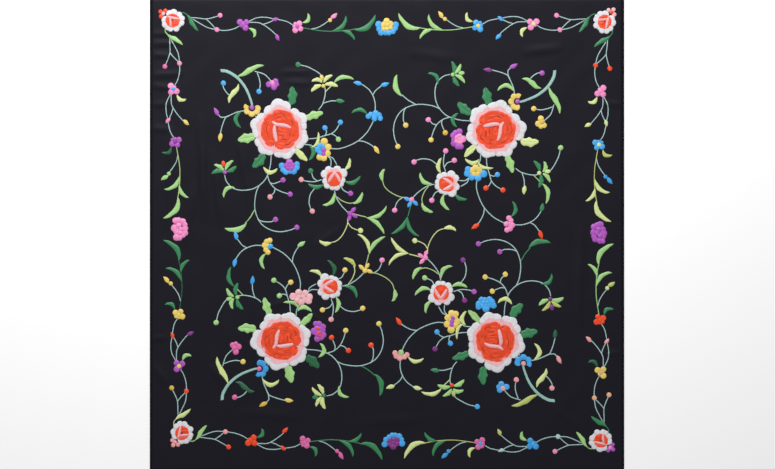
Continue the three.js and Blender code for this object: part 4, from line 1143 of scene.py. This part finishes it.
def silkMaterial(name):
    mat, tree, shader = newMaterial(name, silk)
    link = tree.links.new
    thread = addNode(tree, "VertexColor", layer_name="thread")
    place = addNode(tree, "TexCoord")
    floss = addNode(tree, "Group", node_tree=flossFibres)
    floss.inputs["Variation"].default_value = silk["variation"]
    link(place.outputs["Object"], floss.inputs["Vector"])
    link(thread.outputs["Color"], floss.inputs["Thread Colour"])
    link(floss.outputs["Colour"], shader.inputs["Base Color"])
    addSurface(tree, shader, silk, floss.outputs["Gloss"], floss.outputs["Fibre Height"])
    return mat


crepeWeave = makeCrepeWeave()
flossFibres = makeFlossFibres()
# the rolled hem is the same crepe at half its tone and gloss, painted shade along the edge
silkCrepe, shadedRolledCrepe = crepeMaterial("silk_crepe"), crepeMaterial("rolled_crepe_shaded", 0.5)
flossSilk = silkMaterial("floss_silk")
print("materials ready")


# The cloth itself: a thin shell on the creased ground
def makeCloth():
    half = cloth["side"] / 2 - hem["width"] + hem["gap"]  # the roll covers its raw edge
    n = int(round(2 * half / cloth["cell"]))
    line = np.linspace(-half, half, n + 1)
    x, y = np.meshgrid(line, line)
    band = np.clip((half - np.maximum(np.abs(x), np.abs(y))) / cloth["edgeBand"], 0, 1)
    rise = clothHeight(x, y) * risen(cloth["edgeRise"], band)
    top = np.stack([x, y, cloth["wall"] + rise], -1).reshape(-1, 3)
    under = np.stack([x, y, np.maximum(rise - cloth["press"], 0)], -1).reshape(-1, 3)
    verts = np.concatenate([top, under]) * mm
    side = n + 1
    i = np.arange(n)[:, None] * side + np.arange(n)[None, :]
    quads = np.stack([i, i + 1, i + side + 1, i + side], -1).reshape(-1, 4)
    below = quads[:, ::-1] + side * side
    rim = np.concatenate([np.arange(side), np.arange(1, side) * side + n,
                          side * side - 2 - np.arange(n), (n - 1 - np.arange(n - 1)) * side])
    after = np.roll(rim, -1)
    wall = np.stack([rim, rim + side * side, after + side * side, after], -1)
    mesh = newMesh("crepe_ground", verts, np.concatenate([quads, below, wall]))
    return addPiece("crepe_ground", mesh, silkCrepe, "ground_cloth")


def makeHem(name, start, stop):  # a soft roll that swells a little between its whipping stitches
    start, stop = np.array(start, float), np.array(stop, float)
    run = np.linalg.norm(stop - start)
    n = int(run / hem["step"])
    at = np.linspace(0, 1, n + 1)
    middle = start + (stop - start) * at[:, None]
    side = np.array([-(stop - start)[1], (stop - start)[0]]) / run
    ring = np.radians(np.linspace(0, 360, 10, endpoint=False))
    swell = 1 - hem["dip"] * np.abs(np.sin(at * run / hem["whipping"] * math.pi)) ** 4
    swell[[0, -1]] = hem["tip"]
    across = np.cos(ring)[None, :] * (hem["width"] / 2 + hem["gap"]) * swell[:, None]
    up = hem["height"] / 2 + np.sin(ring)[None, :] * hem["height"] / 2 * swell[:, None]
    verts = np.stack([middle[:, None, 0] + side[0] * across, middle[:, None, 1] + side[1] * across, up], -1)
    k = len(ring)
    a = np.arange(n)[:, None] * k + np.arange(k)[None, :]
    b = np.arange(n)[:, None] * k + (np.arange(k)[None, :] + 1) % k
    quads = np.stack([a, b, b + k, a + k], -1).reshape(-1, 4)
    ends = np.array([[0, 1, 2, 3], [0, 3, 4, 5], [0, 5, 6, 7], [0, 7, 8, 9]])
    quads = np.concatenate([quads[:, ::-1], ends, ends[:, ::-1] + n * k])
    mesh = newMesh("rolled_" + name, verts.reshape(-1, 3) * mm, quads)
    return addPiece("rolled_" + name, mesh, shadedRolledCrepe, name)


ground = makeCloth()
edge = cloth["side"] / 2
ridge = edge - hem["width"] / 2
short = edge - hem["width"] - hem["gap"]  # the left and right hems end inside the other two
hems = [
    makeHem("hem_top", (-edge, ridge), (edge, ridge)),
    makeHem("hem_bottom", (-edge, -ridge), (edge, -ridge)),
    makeHem("hem_left", (-ridge, -short), (-ridge, short)),
    makeHem("hem_right", (ridge, -short), (ridge, short)),
]
print("cloth and hems made")

# The sprays: the middle of each large rose, and the turn of its quarter
quarters = [
    dict(name="tl", x=-273.0, y=266.0, turn=0), dict(name="tr", x=275.5, y=267.5, turn=-90),
    dict(name="br", x=276.5, y=-271.7, turn=180), dict(name="bl", x=-268.4, y=-270.9, turn=90),
]
# Each piece of a spray: its name, its node, its slot and what sews it
sprayPieces = [
    ("vine", "vine", "vine_silk", sewVine),
    ("rose", "rose", "petal_silk", sewLargeRose),
    ("heart", "rose_heart", "heart_silk", sewHeart),
    ("small_rose", "small_rose", "petal_silk", sewSprayRose),
    ("small_heart", "small_rose_heart", "heart_silk", sewSmallHeart),
    ("oval", "oval_blossom", "gold_silk", sewOval),
    ("fan", "fan_blossom", "violet_silk", sewFan),
]


def sewPiece(sew, name, node, place, tail):  # tail says where the piece is, at the end of both names
    work = Work(name + "_stitches_" + tail, *place)
    sew(work)
    work.build(node + "_" + tail)


for which, q in enumerate(quarters):
    for name, node, slot, sew in sprayPieces:
        sewPiece(sew, name, node, (q["x"], q["y"], q["turn"], which), q["name"])
print("sprays sewn")

for which, half in enumerate(halfGarlands):
    tail = half["start"] + "_" + half["end"]
    sewPiece(sewGarland, "garland", "garland", (0, 0, 0, which), tail)
for which, q in enumerate(quarters):
    place = (*corners[q["name"]], q["turn"], which)
    sewPiece(sewCornerRose, "corner", "corner_rose", place, q["name"])
for which, flower in enumerate(middleFlowers):
    place = (*middles[flower["side"]], 0, which)
    sewPiece(sewMiddleFlower, "middle", "middle_flower", place, flower["side"])
print("border sewn")

# The floor, lights and camera
studio = {"size": 12.0, "z": -0.0002, "roughness": 0.9, "cloud": 1.5, "dull": (0.98, 0.98, 0.98)}
view = {"width": 1.962, "height": 6.0, "aside": 0.0013, "sensor": 36}
light = {"world": 0.37, "key": 134.0, "keySize": 2.4, "keyPlace": (-0.45, 2.3, 2.5)}


def makeFloor():
    bpy.ops.mesh.primitive_plane_add(size=studio["size"], location=(0, 0, studio["z"]))
    floor = bpy.context.object
    floor.name = "studio_floor"
    mat = bpy.data.materials.new("studio_white")
    mat.use_nodes = True
    tree = mat.node_tree
    shader = tree.nodes["Principled BSDF"]
    shader.inputs["Roughness"].default_value = studio["roughness"]
    cloud = addNode(tree, "TexNoise", {"Scale": studio["cloud"]})
    paint = addNode(tree, "Mix", {"A": (*studio["dull"], 1), "B": (1.0, 1.0, 1.0, 1)}, data_type="RGBA")
    tree.links.new(cloud.outputs["Fac"], paint.inputs["Factor"])
    tree.links.new(paint.outputs["Result"], shader.inputs["Base Color"])
    floor.data.materials.append(mat)


def makeLights():
    world = bpy.data.worlds.new("studio")
    bpy.context.scene.world = world
    world.use_nodes = True
    background = world.node_tree.nodes["Background"]
    background.inputs["Color"].default_value = (1.0, 1.0, 1.0, 1)
    background.inputs["Strength"].default_value = light["world"]
    lamp = bpy.data.lights.new("soft_key", "AREA")
    lamp.energy = light["key"]
    lamp.size = light["keySize"]
    key = bpy.data.objects.new("soft_key", lamp)
    key.location = light["keyPlace"]
    key.rotation_mode = "QUATERNION"
    key.rotation_quaternion = (-Vector(light["keyPlace"])).to_track_quat("-Z", "Y")
    bpy.context.collection.objects.link(key)


def makeCamera():
    data = bpy.data.cameras.new("camera")
    data.sensor_width = view["sensor"]
    data.lens = view["sensor"] * view["height"] / view["width"]
    cam = bpy.data.objects.new("camera", data)
    cam.location = (view["aside"], 0, view["height"])
    bpy.context.collection.objects.link(cam)
    bpy.context.scene.camera = cam


makeFloor()
makeLights()
makeCamera()
bpy.context.scene.view_settings.view_transform = "Standard"
print("studio ready")
